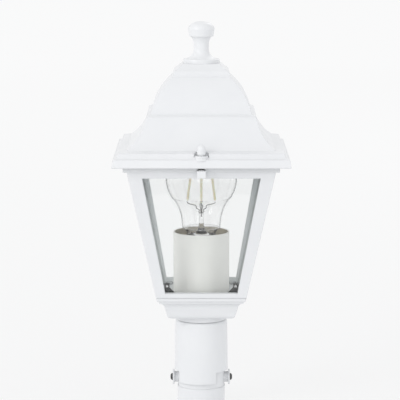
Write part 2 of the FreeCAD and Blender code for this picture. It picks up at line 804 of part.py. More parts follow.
def make_cage():
    groove = plinth_top + groove_rise
    outer = square_plan("CageOuter", [
        (cage_half(plinth_top) - cage_edge_round, plinth_top),
        (cage_half(plinth_top + cage_edge_round), plinth_top + cage_edge_round),
        (cage_half(groove), groove), (cage_half(groove) - groove_depth, groove),
        (cage_half(groove) - groove_depth, groove + groove_height),
        (cage_half(groove + groove_height), groove + groove_height),
        (cage_half(cage_top), cage_top)])
    flange = block("CageFlange", (-flange_half, -flange_half, cage_top - flange_height),
                   (flange_half, flange_half, cage_top))
    lug = block("CageLug", (-lug_half, -lug_reach, lug_top - lug_height),
                (lug_half, lug_reach, lug_top))
    body = joined("CageBody", [outer, flange, lug])
    void = square_plan("CageVoid", [(cage_inner_half(cage_floor_top), cage_floor_top),
                                    (cage_inner_half(cage_top + overcut), cage_top + overcut)])
    drop = block("CageDrop", (-cage_floor_half, -cage_floor_half, plinth_top - overcut),
                 (cage_floor_half, cage_floor_half, cage_floor_top + overcut))
    sills = [sill_wedge(f"Sill{turn}", turn) for turn in quarter_turns]
    holes = [rod(f"LugHole{side}".replace("-", "m"), thread_radius + running_fit,
                 lug_height + overcut * 2, 0.0, roof_screw_offset * side,
                 lug_top - lug_height - overcut) for side in (1, -1)]
    holes += corner_rods("CageScrewHole", small_thread_radius + running_fit, plate_screw_length,
                         plate_top - plate_screw_length)
    named(cut("Cage", body, void, drop, window_prism("FrontWindows", "XZ_Plane"),
              window_prism("SideWindows", "YZ_Plane"), *sills, *holes), "cage_frame")


def make_pane(label, turn, inset):
    """A trapezoid pane against the inside of one wall, inset from the walls beside it."""
    low = plate_top + loose_gap
    high = cage_top - pane_drop
    back = seat_gap
    slab_steps = [(-cage_inner_half(low) + back, low),
                  (-cage_inner_half(low) + back + pane_thickness, low),
                  (-cage_inner_half(high) + back + pane_thickness, high),
                  (-cage_inner_half(high) + back, high)]
    slab = padded(label + "_slab", "YZ_Plane", slab_steps, flange_half * 2)
    face_steps = mirrored([(cage_inner_half(low) - inset, low),
                           (cage_inner_half(high) - inset, high)])
    face = padded(label + "_face", "XZ_Plane", face_steps, flange_half * 2)
    pane = overlap(label + "_made", slab, face)
    pane.Placement = Placement(Vector(), Rotation(Vector(0, 0, 1), turn))
    named(pane, label)


def make_panes():
    wide = loose_gap
    narrow = pane_thickness + loose_gap * 2
    make_pane("pane_front", 0, wide)
    make_pane("pane_right", 90, narrow)
    make_pane("pane_back", 180, wide)
    make_pane("pane_left", 270, narrow)


def clip_front():
    """Where the front pane's inner face stands at the height of the clips."""
    return -cage_inner_half(plate_top) + pane_thickness + loose_gap


def make_clips():
    front = clip_front()
    low = plate_top + pan_height + loose_gap
    corner = cage_inner_half(plate_top) - pane_thickness - loose_gap * 2
    clips = []
    screws = []
    for side in (1, -1):
        steps = [(corner * side, low), (corner * side, low + clip_height),
                 ((corner - clip_ear_width) * side, low + clip_height),
                 ((corner - clip_ear_width) * side, low + clip_shoulder),
                 ((corner - clip_width) * side, low + clip_toe),
                 ((corner - clip_width) * side, low)]
        wedge = padded(f"ClipOutline{side}".replace("-", "m"), "XZ_Plane", steps, clip_thickness)
        place(wedge, 0.0, front + clip_thickness / 2 + seat_gap, 0.0)
        x = (corner - clip_screw_inset) * side
        z = low + clip_screw_rise
        turn = Rotation(Vector(1, 0, 0), -90)
        hole = rod(f"ClipHole{side}".replace("-", "m"), clip_screw_radius,
                   clip_thickness + overcut * 2, x, front - overcut, z, turn)
        clips.append(cut(f"Clip{side}".replace("-", "m"), wedge, hole))
        seat = front + clip_thickness + seat_gap
        head = rod(f"ClipHead{side}".replace("-", "m"), clip_screw_radius * 1.4, pan_height * 0.5,
                   x, seat, z, turn)
        shank = rod(f"ClipShank{side}".replace("-", "m"), clip_screw_radius, clip_thickness * 0.8,
                    x, seat - clip_thickness * 0.8, z, turn)
        screws.append(joined(f"ClipScrew{side}".replace("-", "m"), [head, shank]))
    named(grouped("PaneClips", clips), "pane_clips")
    named(grouped("PaneClipScrews", screws), "pane_clip_screws")


def make_gasket():
    outer = flange_half - gasket_inset
    inner = outer - gasket_width
    slab = block("GasketSlab", (-outer, -outer, cage_top), (outer, outer, cage_top + gasket_thickness))
    hole = block("GasketHole", (-inner, -inner, cage_top - overcut),
                 (inner, inner, cage_top + gasket_thickness + overcut))
    named(cut("Gasket", slab, hole), "roof_gasket")


# ---- Floor plate, lampholder and leads ----

def make_plate():
    half = cage_inner_half(cage_floor_top) - seat_gap
    through = plate_thickness + overcut * 2
    low = cage_floor_top - overcut
    slab = block("PlateSlab", (-half, -half, cage_floor_top), (half, half, plate_top))
    middle = rod("PlateMiddle", plate_hole_radius, through, 0.0, 0.0, low)
    corners = corner_rods("PlateHole", small_thread_radius + running_fit, through, low)
    fixings = [rod(f"PlateFixing{side}".replace("-", "m"), small_thread_radius + running_fit,
                   through, holder_screw_offset * side, 0.0, low) for side in (1, -1)]
    earth = rod("PlateEarthHole", thread_radius + running_fit, through, 0.0, earth_offset, low)
    named(cut("FloorPlate", slab, middle, earth, *corners, *fixings), "floor_plate")


def pan_screw(name, length, x, y, seat, up):
    """A pan head screw. Its head is above the seat, or below it when up is -1."""
    shank = rod(name + "Shank", small_thread_radius, length, x, y,
                seat - length if up > 0 else seat)
    head = rod(name + "Head", pan_radius, pan_height, x, y, seat if up > 0 else seat - pan_height)
    bottom = seat + pan_height * 0.55 * up
    slot_low = bottom if up > 0 else seat - pan_height - overcut
    slot_high = seat + pan_height + overcut if up > 0 else bottom
    slot = block(name + "Slot", (x - pan_radius - overcut, y - slot_width / 2, slot_low),
                 (x + pan_radius + overcut, y + slot_width / 2, slot_high))
    return cut(name, joined(name + "Body", [shank, head]), slot)


def make_plate_screws():
    screws = [pan_screw(f"PlateScrew{x}{y}".replace("-", "m"), plate_screw_length,
                        plate_screw_offset * x, plate_screw_offset * y, plate_top, 1)
              for x in (1, -1) for y in (1, -1)]
    named(grouped("FloorPlateScrews", screws), "floor_plate_screws")


def make_holder():
    top = plate_top + holder_height
    body = turned("HolderTurned", [
        (0.0, plate_top), (holder_radius, plate_top), (holder_radius, top - holder_round),
        (holder_radius - holder_round, top, holder_round), (holder_bore, top),
        (holder_bore, holder_pocket), (0.0, holder_pocket)])
    holes = []
    for side in (1, -1):
        tag = "Right" if side > 0 else "Left"
        holes.append(rod(f"HolderTerminal{tag}", terminal_radius + press_gap,
                         terminal_height + overcut, lead_pitch * side, 0.0, plate_top - overcut))
        holes.append(rod(f"HolderFixing{tag}", small_thread_radius, holder_screw_length,
                         holder_screw_offset * side, 0.0, plate_top - overcut))
        x = lead_pitch * side
        holes.append(block(f"HolderSlot{tag}", (x - strap_half, -contact_width / 2, plate_top + overcut),
                           (x + strap_half, contact_width / 2, holder_pocket + overcut)))
    named(cut("Holder", body, *holes), "lampholder_body")


def make_holder_metal():
    terminal_top = plate_top + terminal_height
    inner = cap_radius + running_fit
    named(ring("HolderShell", inner + shell_wall, inner, shell_height, shell_low),
          "lampholder_shell")
    half = contact_width / 2
    leaf_low = holder_pocket + contact_rise
    strap = block("CentreStrap", (-lead_pitch - strap_half, -half, terminal_top),
                  (strap_half - lead_pitch, half, leaf_low))
    leaf = block("CentreLeaf", (-lead_pitch - strap_half, -half, leaf_low),
                 (contact_button_radius, half, leaf_low + contact_thickness))
    button = rod("CentreButton", contact_button_radius, cap_low - seat_gap - leaf_low,
                 0.0, 0.0, leaf_low)
    named(joined("CentreContact", [strap, leaf, button]), "lampholder_centre_contact")
    side_strap = block("SideStrap", (lead_pitch - strap_half, -half, terminal_top),
                       (lead_pitch + strap_half, half, holder_pocket))
    side_leaf = block("SideLeaf", (lead_pitch - strap_half, -half, holder_pocket),
                      (inner + shell_wall / 2, half, shell_low))
    named(joined("SideContact", [side_strap, side_leaf]), "lampholder_side_contact")
    terminals = []
    for side in (1, -1):
        tag = "Right" if side > 0 else "Left"
        barrel = rod(f"Terminal{tag}", terminal_radius, terminal_height, lead_pitch * side, 0.0,
                     plate_top)
        bore = rod(f"TerminalBore{tag}", lead_radius, terminal_height - insert_end,
                   lead_pitch * side, 0.0, plate_top)
        terminals.append(cut(f"TerminalMade{tag}", barrel, bore))
    named(grouped("Terminals", terminals), "lampholder_terminals")
    fixings = [pan_screw(f"HolderScrew{side}".replace("-", "m"), holder_screw_length,
                         holder_screw_offset * side, 0.0, cage_floor_top, -1) for side in (1, -1)]
    named(grouped("HolderScrews", fixings), "lampholder_screws")


def make_sleeve():
    inner = sleeve_radius - sleeve_wall
    lip = sleeve_wall / 2
    named(turned("Sleeve", [
        (inner, plate_top), (sleeve_radius, plate_top), (sleeve_radius, sleeve_top - lip),
        (inner, sleeve_top - lip, lip)]), "lampholder_sleeve")


def make_earth():
    ring_low = cage_floor_top - earth_ring_thickness
    pad = rod("EarthPad", earth_ring_radius, earth_ring_thickness, 0.0, earth_offset, ring_low)
    tongue = block("EarthTongue",
                   (-lead_radius, earth_offset - earth_ring_radius - earth_tongue, ring_low),
                   (lead_radius, earth_offset - earth_ring_radius / 2, cage_floor_top))
    hole = rod("EarthPadHole", thread_radius, earth_ring_thickness + overcut * 2, 0.0, earth_offset,
               ring_low - overcut)
    named(cut("EarthTag", joined("EarthTagBody", [pad, tongue]), hole), "earth_tag")
    shank = rod("EarthShank", thread_radius, plate_thickness + earth_ring_thickness, 0.0,
                earth_offset, ring_low)
    head = rod("EarthHead", pan_radius * 1.2, pan_height, 0.0, earth_offset, ring_low - pan_height)
    named(joined("EarthScrew", [shank, head]), "earth_screw")


def make_leads():
    end = nipple_low - block_drop - lead_grip
    top = plate_top + terminal_height - insert_end
    for side, label in ((-1, "lead_live"), (1, "lead_neutral")):
        named(rod(label + "_rod", lead_radius, top - end, lead_pitch * side, 0.0, end), label)
    level = float(cage_floor_top - earth_ring_thickness - lead_radius)
    start = Vector(0, float(earth_offset - earth_ring_radius - earth_tongue / 6), level)
    bend = float(lead_bend)
    corner = Vector(0, bend, level)
    down = Vector(0, 0, level - bend)
    middle = Vector(0, bend * (1 - math.sqrt(0.5)), level - bend * (1 - math.sqrt(0.5)))
    edges = [Part.LineSegment(start, corner).toShape(), Part.Arc(corner, middle, down).toShape(),
             Part.LineSegment(down, Vector(0, 0, float(end))).toShape()]
    named(tube_along("EarthLead", lead_radius, edges), "lead_earth")


def make_terminal_block():
    top = nipple_low - block_drop
    low = top - block_height
    body = block("BlockBody", (-block_width / 2, -block_depth / 2, low),
                 (block_width / 2, block_depth / 2, top))
    turn = Rotation(Vector(1, 0, 0), 90)
    insert_outer = lead_radius + insert_wall
    bores, inserts, screws, wells = [], [], [], []
    for pole in (-1, 0, 1):
        tag = f"Pole{pole + 1}"
        x = lead_pitch * pole
        bores.append(rod(f"Block{tag}", insert_outer, block_height + overcut * 2, x, 0.0,
                         low - overcut))
        tube = rod(f"Insert{tag}", insert_outer, block_height - insert_end * 2, x, 0.0,
                   low + insert_end)
        bore = rod(f"InsertBore{tag}", lead_radius, block_height, x, 0.0, low)
        inserts.append(cut(f"InsertMade{tag}", tube, bore))
        for level in (0.25, 0.75):
            spot = f"{tag}At{int(level * 100)}"
            z = low + block_height * level
            seat = -insert_outer
            wells.append(rod(f"Well{spot}", small_thread_radius + press_gap, block_depth, x, seat, z,
                             turn))
            screws.append(rod(f"BlockScrew{spot}", small_thread_radius, block_screw_length, x, seat,
                              z, turn))
    named(cut("TerminalBlock", body, *bores, *wells), "terminal_block")
    named(grouped("BlockInserts", inserts), "terminal_block_inserts")
    named(grouped("BlockScrews", screws), "terminal_block_screws")


# ---- Lamp ----

def make_cap():
    cone_low = cap_low + cap_button_height
    shell_start = cone_low + cap_cone_height
    top = cap_low + cap_height + cap_button_height + cap_cone_height
    named(rod("CapButton", cap_button_radius, cap_button_height, 0.0, 0.0, cap_low),
          "bulb_cap_contact")
    foot = cap_radius - cap_cone_inset
    named(turned("CapInsulator", [
        (0.0, cone_low), (cap_button_radius, cone_low), (foot, shell_start), (0.0, shell_start)]),
        "bulb_cap_insulator")
    valley = cap_radius - cap_thread_depth
    shoulder = shell_start + cap_wall * 2.4
    steps = [(foot, shell_start), (valley, shell_start + cap_wall * 1.6)]
    for turn in range(5):
        start = shoulder + cap_thread_pitch * turn
        steps.append((valley, start))
        steps.append((cap_radius, start + cap_thread_pitch * 0.3))
        steps.append((cap_radius, start + cap_thread_pitch * 0.45))
        steps.append((valley, start + cap_thread_pitch * 0.75))
    inner = valley - cap_wall
    skirt = cap_radius - cap_wall * 0.4
    web = shell_start + cap_wall * 1.8
    steps += [(skirt, top - cap_skirt), (skirt, top), (inner, top), (inner, web + cap_wall),
              (foot - cap_wall * 1.2, web), (0.0, web), (0.0, shell_start)]
    named(turned("CapShell", steps), "bulb_cap")
    return top


def make_glass(cap_end):
    neck = cap_radius - cap_thread_depth - cap_wall - seat_gap
    neck_low = cap_end - bulb_neck_seat
    neck_top = cap_end + glass_wall * 2 / 3
    shoulder = bulb_centre - root(bulb_radius * bulb_radius - bulb_shoulder_half * bulb_shoulder_half)
    waist_low = cap_end + bulb_neck_rise
    waist_radius = bulb_waist_radius - bulb_waist_draft
    wall = glass_wall
    outer_top = bulb_centre + bulb_radius
    big = bulb_radius
    outer = [(neck, neck_low), (neck, neck_top), (waist_radius, waist_low, -bulb_neck_curve),
             (bulb_waist_radius, bulb_waist_level),
             (bulb_shoulder_half, shoulder, -bulb_shoulder_curve),
             (big, bulb_centre, big), (0.0, outer_top, big)]
    inner_scale = (big - wall) / big
    inner = [(0.0, outer_top - wall), (big - wall, bulb_centre, -(big - wall)),
             (bulb_shoulder_half * inner_scale,
              bulb_centre - (bulb_centre - shoulder) * inner_scale, -(big - wall)),
             (bulb_waist_radius - wall, bulb_waist_level, bulb_shoulder_curve + wall),
             (waist_radius - wall, waist_low),
             (neck - wall, neck_top, bulb_neck_curve + wall), (neck - wall, neck_low)]
    named(turned("BulbGlass", outer + inner), "bulb_glass")


def make_stem(cap_end):
    low = cap_end - stem_radius
    foot = cap_radius - cap_thread_depth - cap_wall - glass_wall - seat_gap * 2
    bore = wire_radius + press_gap
    seat = stem_top - wire_seat - press_gap
    named(turned("BulbStem", [
        (0.0, low), (foot, low), (foot, low + stem_radius / 2),
        (stem_radius * 1.4, low + stem_radius * 3.5, -stem_flare_curve),
        (stem_radius, low + stem_radius * 6), (stem_radius * 0.9, stem_top), (bore, stem_top),
        (bore, seat), (0.0, seat)]), "bulb_stem")


def filament_ends(turn):
    """The low and high end of one leaning filament."""
    lean = math.radians(float(filament_lean))
    low_reach = float(filament_offset)
    high_reach = low_reach - float(filament_length) * math.sin(lean)
    angle = math.radians(turn)
    way = Vector(math.cos(angle), math.sin(angle), 0)
    low = way * low_reach + Vector(0, 0, float(filament_low))
    high = way * high_reach
    high.z = float(filament_low) + float(filament_length) * math.cos(lean)
    return low, high


def make_filaments():
    bars = []
    for turn in quarter_turns:
        low, high = filament_ends(turn)
        way = high - low
        bars.append(rod(f"Filament{turn}", filament_radius, filament_length, low.x, low.y, low.z,
                        Rotation(Vector(0, 0, 1), way)))
    named(grouped("Filaments", bars), "bulb_filaments")


def make_support_wires():
    parts = []
    hub = Vector(0, 0, float(stem_top))
    mast_top = Vector(0, 0, float(filament_low + filament_length * 0.97))
    foot_rise = Vector(0, 0, float(wire_foot_rise))
    tip = Vector(0, 0, float(wire_bead + running_fit))
    parts += wire_between("Mast", hub - Vector(0, 0, float(wire_seat)), mast_top)
    for number, turn in enumerate(quarter_turns):
        low, high = filament_ends(turn)
        way = Vector(low.x, low.y, 0).normalize()
        side = Vector(-way.y, way.x, 0) * float(wire_foot_rise)
        stagger = wire_knee_stagger if number % 2 else 0.0
        post = hub + way * float(wire_foot_reach) + side + foot_rise
        knee = hub + way * float(wire_knee_reach) + side * 0.5
        knee.z += float(wire_knee_rise + stagger)
        parts += wire_between(f"Foot{turn}", hub + foot_rise * 0.5, post)
        parts += wire_between(f"Knee{turn}", post, knee)
        parts += wire_between(f"Arm{turn}", knee, low - tip)
        parts += wire_between(f"Crown{turn}", mast_top, high + tip)
    named(joined("SupportWires", parts), "bulb_support_wires")


# ---- Roof, finial and roof screws ----

def flare(inset):
    """The roof's hollow curve from the ledge up to the ridge, moved in by a wall."""
    return [(flare_foot_half - inset, flare_foot), (ridge_half - inset, ridge_low, -flare_curve)]


def make_roof():
    lip_low = flange_top + cove_radius
    outer = square_plan("RoofOuter", [
        (eave_half - eave_chamfer, eave_low), (eave_half, eave_low + eave_chamfer),
        (eave_flange_half, flange_top), (ledge_half + cove_radius, flange_top),
        (ledge_half, lip_low, -cove_radius), (ledge_half, lip_low + ledge_lip),
        (flare_foot_half + flare_foot_round, lip_low + ledge_lip + ledge_fall), *flare(0),
        (ridge_half - ridge_batter, ridge_low + ridge_face), (bell_low_half, ridge_top),
        (bell_top_half, bell_top, bell_curve), (cap_plate_half, bell_top + cap_plate_step),
        (cap_plate_half, bell_top + cap_plate_edge),
        (cap_plate_round_half, bell_top + cap_plate_round_rise, cap_plate_curve),
        (roof_crown_half, roof_crown)])
    hollow = square_plan("RoofHollow", [
        (flare_foot_half - roof_wall, eave_low - overcut), *flare(roof_wall),
        (bell_low_half - roof_wall, ridge_top), (bell_top_half - roof_wall, bell_top, bell_curve)])
    drop = eave_low + channel_depth
    channel = block("ChannelOuter", (-channel_outer, -channel_outer, eave_low - overcut),
                    (channel_outer, channel_outer, drop))
    island = block("ChannelInner", (-channel_inner, -channel_inner, eave_low - overcut * 2),
                   (channel_inner, channel_inner, drop + overcut))
    web = block("ChannelWeb", (-channel_boss_half, -channel_outer - overcut, eave_low - overcut * 2),
                (channel_boss_half, channel_outer + overcut, drop + overcut))
    groove = cut("Channel", channel, island, web)
    tools = [hollow, groove]
    boss_parts = []
    for side in (1, -1):
        tag = "Back" if side > 0 else "Front"
        y = roof_screw_offset * side
        tools.append(rod(f"RoofScrewHole{tag}", thread_radius + running_fit,
                         roof_screw_seat - eave_low + overcut * 2, 0.0, y, eave_low - overcut))
        tools.append(rod(f"RoofSeat{tag}", roof_washer_radius + seat_margin, ridge_low - roof_screw_seat,
                         0.0, y, roof_screw_seat))
        boss_parts.append(rod(f"RoofBoss{tag}", roof_washer_radius, roof_boss_rise + overcut,
                              0.0, y, flange_top - overcut))
    tools.append(rod("RoofStudHole", stud_radius + press_gap, crown_rise + overcut * 2, 0.0, 0.0,
                     bell_top - overcut))
    named(cut("Roof", joined("RoofBody", [outer, *boss_parts]), *tools), "roof")


def make_finial():
    low = roof_crown
    rim_top = low + finial_flange_height
    rim_inner = finial_flange_radius - finial_flange_round
    throat = finial_neck_radius + finial_throat_flare
    dome_radius = finial_knob_radius - finial_dome_inset
    dome_fall = root(finial_dome_curve * finial_dome_curve - dome_radius * dome_radius)
    dome_edge = finial_top - finial_dome_curve + dome_fall
    body = turned("FinialTurned", [
        (0.0, low), (finial_flange_radius, low),
        (finial_flange_radius, rim_top - finial_flange_round), (rim_inner, rim_top, finial_flange_round),
        (finial_flange_radius - finial_foot_inset, rim_top + finial_foot_step),
        (finial_neck_radius, finial_neck_low, -finial_foot_curve),
        (finial_neck_radius, finial_neck_top),
        (throat, finial_knob_low - finial_throat_edge, -finial_throat_curve),
        (throat, finial_knob_low), (finial_knob_radius - finial_knob_taper, finial_knob_low),
        (finial_knob_radius, finial_knob_level), (dome_radius, dome_edge, finial_dome_edge_curve),
        (0.0, finial_top, finial_dome_curve)])
    bore = rod("FinialBore", stud_radius + press_gap, stud_above + press_gap, 0.0, 0.0, low)
    named(cut("Finial", body, bore), "finial")


def make_stud():
    low = bell_top - stud_below
    named(rod("FinialStud", stud_radius, roof_crown + stud_above - low, 0.0, 0.0, low),
          "finial_stud")
    washer_low = bell_top - stud_washer_thickness
    named(ring("FinialWasher", stud_washer_radius, stud_radius + press_gap, stud_washer_thickness,
               washer_low), "finial_washer")
    nut_low = washer_low - stud_nut_height
    across = (stud_radius + stud_nut_wall) * 2
    nut = hexagon("FinialNutHex", across, stud_nut_height, 0.0, 0.0, nut_low)
    bore = rod("FinialNutBore", stud_radius, stud_nut_height, 0.0, 0.0, nut_low)
    named(cut("FinialNut", nut, bore), "finial_nut")


def make_roof_screws():
    washers = []
    washer_top = roof_screw_seat + washer_thickness
    for side, tag in ((-1, "front"), (1, "back")):
        y = roof_screw_offset * side
        disc = rod(f"RoofWasherDisc_{tag}", roof_washer_radius, washer_thickness, 0.0, y,
                   roof_screw_seat)
        bore = rod(f"RoofWasherBore_{tag}", thread_radius + running_fit,
                   washer_thickness + overcut * 2, 0.0, y, roof_screw_seat - overcut)
        washers.append(cut(f"RoofWasher_{tag}", disc, bore))
        shank = roof_screw_end - washer_top
        waist = knob_radius - knob_undercut
        screw = turned(f"RoofScrewTurned_{tag}", [
            (0.0, shank), (thread_radius, shank), (thread_radius, 0.0), (waist, 0.0),
            (waist, knob_neck), (knob_radius, knob_neck),
            (knob_radius, knob_neck + knob_height - knob_radius),
            (0.0, knob_neck + knob_height, knob_radius)])
        place(screw, 0.0, y, washer_top)
        named(screw, f"roof_screw_{tag}")
        retainer = turned(f"Retainer_{tag}", [
            (thread_radius, 0.0), (thread_radius + retainer_wall, 0.0),
            (thread_radius + retainer_wall, retainer_height), (thread_radius, retainer_height)])
        place(retainer, 0.0, y, eave_low - retainer_height - retainer_gap)
        named(retainer, f"roof_screw_retainer_{tag}")
    named(grouped("RoofWashers", washers), "roof_screw_washers")


def build():
    make_post()
    make_bosses()
    make_clamp_washers()
    make_clamp_screw(1, "clamp_screw_right")
    make_clamp_screw(-1, "clamp_screw_left")
    make_collar()
    make_neck_parts()
    make_plinth()
    make_cage()
    make_panes()
    make_clips()
    make_gasket()
    make_plate()
    make_plate_screws()
    make_holder()
    make_holder_metal()
    make_sleeve()
    make_earth()
    make_leads()
    make_terminal_block()
    cap_end = make_cap()
    make_glass(cap_end)
    make_stem(cap_end)
    make_filaments()
    make_support_wires()
    make_roof()
    make_finial()
    make_stud()
    make_roof_screws()


def check_and_write():
    """Stop at anything that failed to build, then write one file for each sub-part."""
    for thing in doc.Objects:
        if "Invalid" in thing.State or "Error" in thing.State:
            raise RuntimeError(f"{thing.Name} ({thing.Label}) failed: {thing.State}")
    os.makedirs("parts", exist_ok=True)
    for thing in pieces:
        shape = thing.Shape
        if shape.isNull() or not shape.isValid() or not shape.Solids:
            raise RuntimeError(f"{thing.Label} has no valid solid")
        shape.exportStep(f"parts/{thing.Label}.step")
        print(f"{thing.Label:28s} solids {len(shape.Solids):2d}  volume {shape.Volume:11.1f}")


build()
doc.recompute()
check_and_write()
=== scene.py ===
import math
import bmesh
import bpy
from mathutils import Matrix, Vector


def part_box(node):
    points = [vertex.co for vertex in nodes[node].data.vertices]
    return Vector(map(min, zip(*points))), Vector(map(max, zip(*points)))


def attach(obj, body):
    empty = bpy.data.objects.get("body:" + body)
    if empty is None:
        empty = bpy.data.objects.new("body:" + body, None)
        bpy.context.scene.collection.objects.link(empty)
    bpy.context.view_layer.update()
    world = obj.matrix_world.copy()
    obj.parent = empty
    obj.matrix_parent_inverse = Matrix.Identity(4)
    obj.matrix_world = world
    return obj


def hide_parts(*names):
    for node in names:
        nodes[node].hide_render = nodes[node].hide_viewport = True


# post top lantern: tapered square cage, bell roof with finial, screw-in filament lamp
# metres, z up, the front looks along -y, and the origin is under the middle of the post

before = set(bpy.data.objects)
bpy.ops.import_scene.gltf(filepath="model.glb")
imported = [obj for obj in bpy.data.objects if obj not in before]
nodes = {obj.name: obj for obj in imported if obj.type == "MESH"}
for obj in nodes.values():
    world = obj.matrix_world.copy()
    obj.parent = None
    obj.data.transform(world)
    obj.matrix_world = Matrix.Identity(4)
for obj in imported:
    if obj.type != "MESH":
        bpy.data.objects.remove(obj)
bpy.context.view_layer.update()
mm = 0.001


# camera: fitted to the four eave corners, the sleeve's rim and the windows
view = {"distance": 1.690, "elevation": 8.7, "aimHeight": 0.176, "aimSide": -0.0011, "lens": 181.0,
        "sensor": 36, "farthest": 60}


def placeCamera():
    tilt = math.radians(view["elevation"])
    data = bpy.data.cameras.new("photoCamera")
    data.lens = view["lens"]
    data.sensor_width = view["sensor"]
    data.clip_end = view["farthest"]
    camera = bpy.data.objects.new("photoCamera", data)
    camera.location = (view["aimSide"], -view["distance"] * math.cos(tilt),
                       view["aimHeight"] + view["distance"] * math.sin(tilt))
    camera.rotation_euler = (math.radians(90) - tilt, 0, 0)
    bpy.context.collection.objects.link(camera)
    bpy.context.scene.camera = camera


def feed(tree, item, socket):
    # a number is set on the socket, and anything else is linked to it
    if isinstance(item, (int, float)):
        socket.default_value = item
    else:
        tree.links.new(item, socket)


def calc(tree, operation, first, second=0.0, clamp=False):
    node = tree.nodes.new("ShaderNodeMath")
    node.operation = operation
    node.use_clamp = clamp
    feed(tree, first, node.inputs[0])
    feed(tree, second, node.inputs[1])
    return node.outputs[0]


def remap(tree, value, low, high, toLow=0.0, toHigh=1.0):
    node = tree.nodes.new("ShaderNodeMapRange")
    node.inputs["From Min"].default_value = low
    node.inputs["From Max"].default_value = high
    feed(tree, toLow, node.inputs["To Min"])
    feed(tree, toHigh, node.inputs["To Max"])
    tree.links.new(value, node.inputs["Value"])
    return node.outputs["Result"]


def mixShaders(tree, share, first, second, out):
    pick = tree.nodes.new("ShaderNodeMixShader")
    tree.links.new(share, pick.inputs["Fac"])
    tree.links.new(first, pick.inputs[1])
    tree.links.new(second, pick.inputs[2])
    tree.links.new(pick.outputs[0], out.inputs["Surface"])


def seenRays(tree):
    # 1 where the camera looks straight at it, or sees it in gloss or through glass
    rays = tree.nodes.new("ShaderNodeLightPath").outputs
    plain = calc(tree, "MAXIMUM", rays["Is Camera Ray"], rays["Is Glossy Ray"])
    return calc(tree, "MAXIMUM", plain, rays["Is Transmission Ray"])


# lamps: a big soft one at upper left, weaker ones at right and low in front, and one behind
lampAim = (0, 0, 0.17)
lamps = {
    "keyLamp": {"spot": (-1.8, -1.5, 1.15), "size": (1.3, 1.3), "power": 17.0,
                "tint": (1, 0.995, 0.985)},
    "fillLamp": {"spot": (1.9, -1.2, 0.6), "size": (1.0, 1.4), "power": 3.0,
                 "tint": (0.97, 0.985, 1)},
    "frontLamp": {"spot": (0.3, -2.4, 0.12), "size": (1.8, 0.5), "power": 3.2, "tint": (1, 1, 1)},
    "backLamp": {"spot": (0.9, 1.8, 1.5), "size": (1.2, 0.9), "power": 5.0, "tint": (1, 1, 1)},
}


def hangLamp(name, spot, size, power, tint):
    data = bpy.data.lights.new(name, "AREA")
    data.shape = "RECTANGLE"
    data.size, data.size_y = size
    data.energy = power
    data.color = tint
    lamp = bpy.data.objects.new(name, data)
    lamp.location = spot
    aim = Vector(lampAim) - Vector(spot)
    lamp.rotation_euler = aim.to_track_quat("-Z", "Y").to_euler()
    bpy.context.collection.objects.link(lamp)


# room: what the camera sees is plain white, what lights the lantern is softer and a little blue
room = {"seen": 0.97, "seenTint": (1, 1, 1), "soft": 0.86, "softTint": (0.985, 0.99, 1)}


def lightRoom():
    world = bpy.data.worlds.new("paleRoom")
    world.use_nodes = True
    tree = world.node_tree
    tree.nodes.clear()
    seen = tree.nodes.new("ShaderNodeBackground")
    seen.inputs["Color"].default_value = (*room["seenTint"], 1)
    seen.inputs["Strength"].default_value = room["seen"]
    soft = tree.nodes.new("ShaderNodeBackground")
    soft.inputs["Color"].default_value = (*room["softTint"], 1)
    soft.inputs["Strength"].default_value = room["soft"]
    out = tree.nodes.new("ShaderNodeOutputWorld")
    mixShaders(tree, seenRays(tree), soft.outputs[0], seen.outputs[0], out)
    bpy.context.scene.world = world


# floor: pale paper whose glow, as the camera sees it, grows brighter towards the back of the room,
# which is painted light
paperFloor = {"radius": 24, "segments": 96, "drop": 0.0002, "tone": (0.86, 0.865, 0.87),
              "roughness": 0.9, "shine": 0.1, "near": 0.935, "far": 1.005, "fade": (-0.5, 3.5),
              "glowShare": 0.8}    # the rest is lit paper, with the shadow


def layFloor():
    look = paperFloor
    mesh = bpy.data.meshes.new("paleFloor")
    shape = bmesh.new()
    bmesh.ops.create_circle(shape, cap_ends=True, segments=look["segments"], radius=look["radius"])
    shape.to_mesh(mesh)
    shape.free()
    floor = bpy.data.objects.new("paleFloor", mesh)
    floor.location = (0, 0, -look["drop"])
    bpy.context.collection.objects.link(floor)
    material = bpy.data.materials.new("palePaper")
    material.use_nodes = True
    tree = material.node_tree
    tree.nodes.clear()
    paper = tree.nodes.new("ShaderNodeBsdfPrincipled")
    paper.inputs["Base Color"].default_value = (*look["tone"], 1)
    paper.inputs["Roughness"].default_value = look["roughness"]
    paper.inputs["Specular IOR Level"].default_value = look["shine"]
    glow = tree.nodes.new("ShaderNodeEmission")
    spot = tree.nodes.new("ShaderNodeTexCoord")
    away = tree.nodes.new("ShaderNodeSeparateXYZ")
    tree.links.new(spot.outputs["Object"], away.inputs[0])
    # painted light: the glow strength rises from near to far across the floor
    fade = remap(tree, away.outputs["Y"], *look["fade"], look["near"], look["far"])
    tree.links.new(fade, glow.inputs["Strength"])
    share = calc(tree, "MULTIPLY", seenRays(tree), look["glowShare"])
    out = tree.nodes.new("ShaderNodeOutputMaterial")
    mixShaders(tree, share, paper.outputs[0], glow.outputs[0], out)
    mesh.materials.append(material)


placeCamera()
for name, lamp in lamps.items():
    hangLamp(name, **lamp)
lightRoom()
layFloor()
bpy.context.scene.view_settings.view_transform = "Standard"
print("camera, lamps and floor are set")


def newGroup(name, inputs, outputs):
    tree = bpy.data.node_groups.new(name, "ShaderNodeTree")
    for label, value in inputs.items():
        socket = tree.interface.new_socket(name=label, in_out="INPUT", socket_type="NodeSocketFloat")
        socket.default_value = value
    for label in outputs:
        tree.interface.new_socket(name=label, in_out="OUTPUT", socket_type="NodeSocketFloat")
    return tree, tree.nodes.new("NodeGroupInput"), tree.nodes.new("NodeGroupOutput")


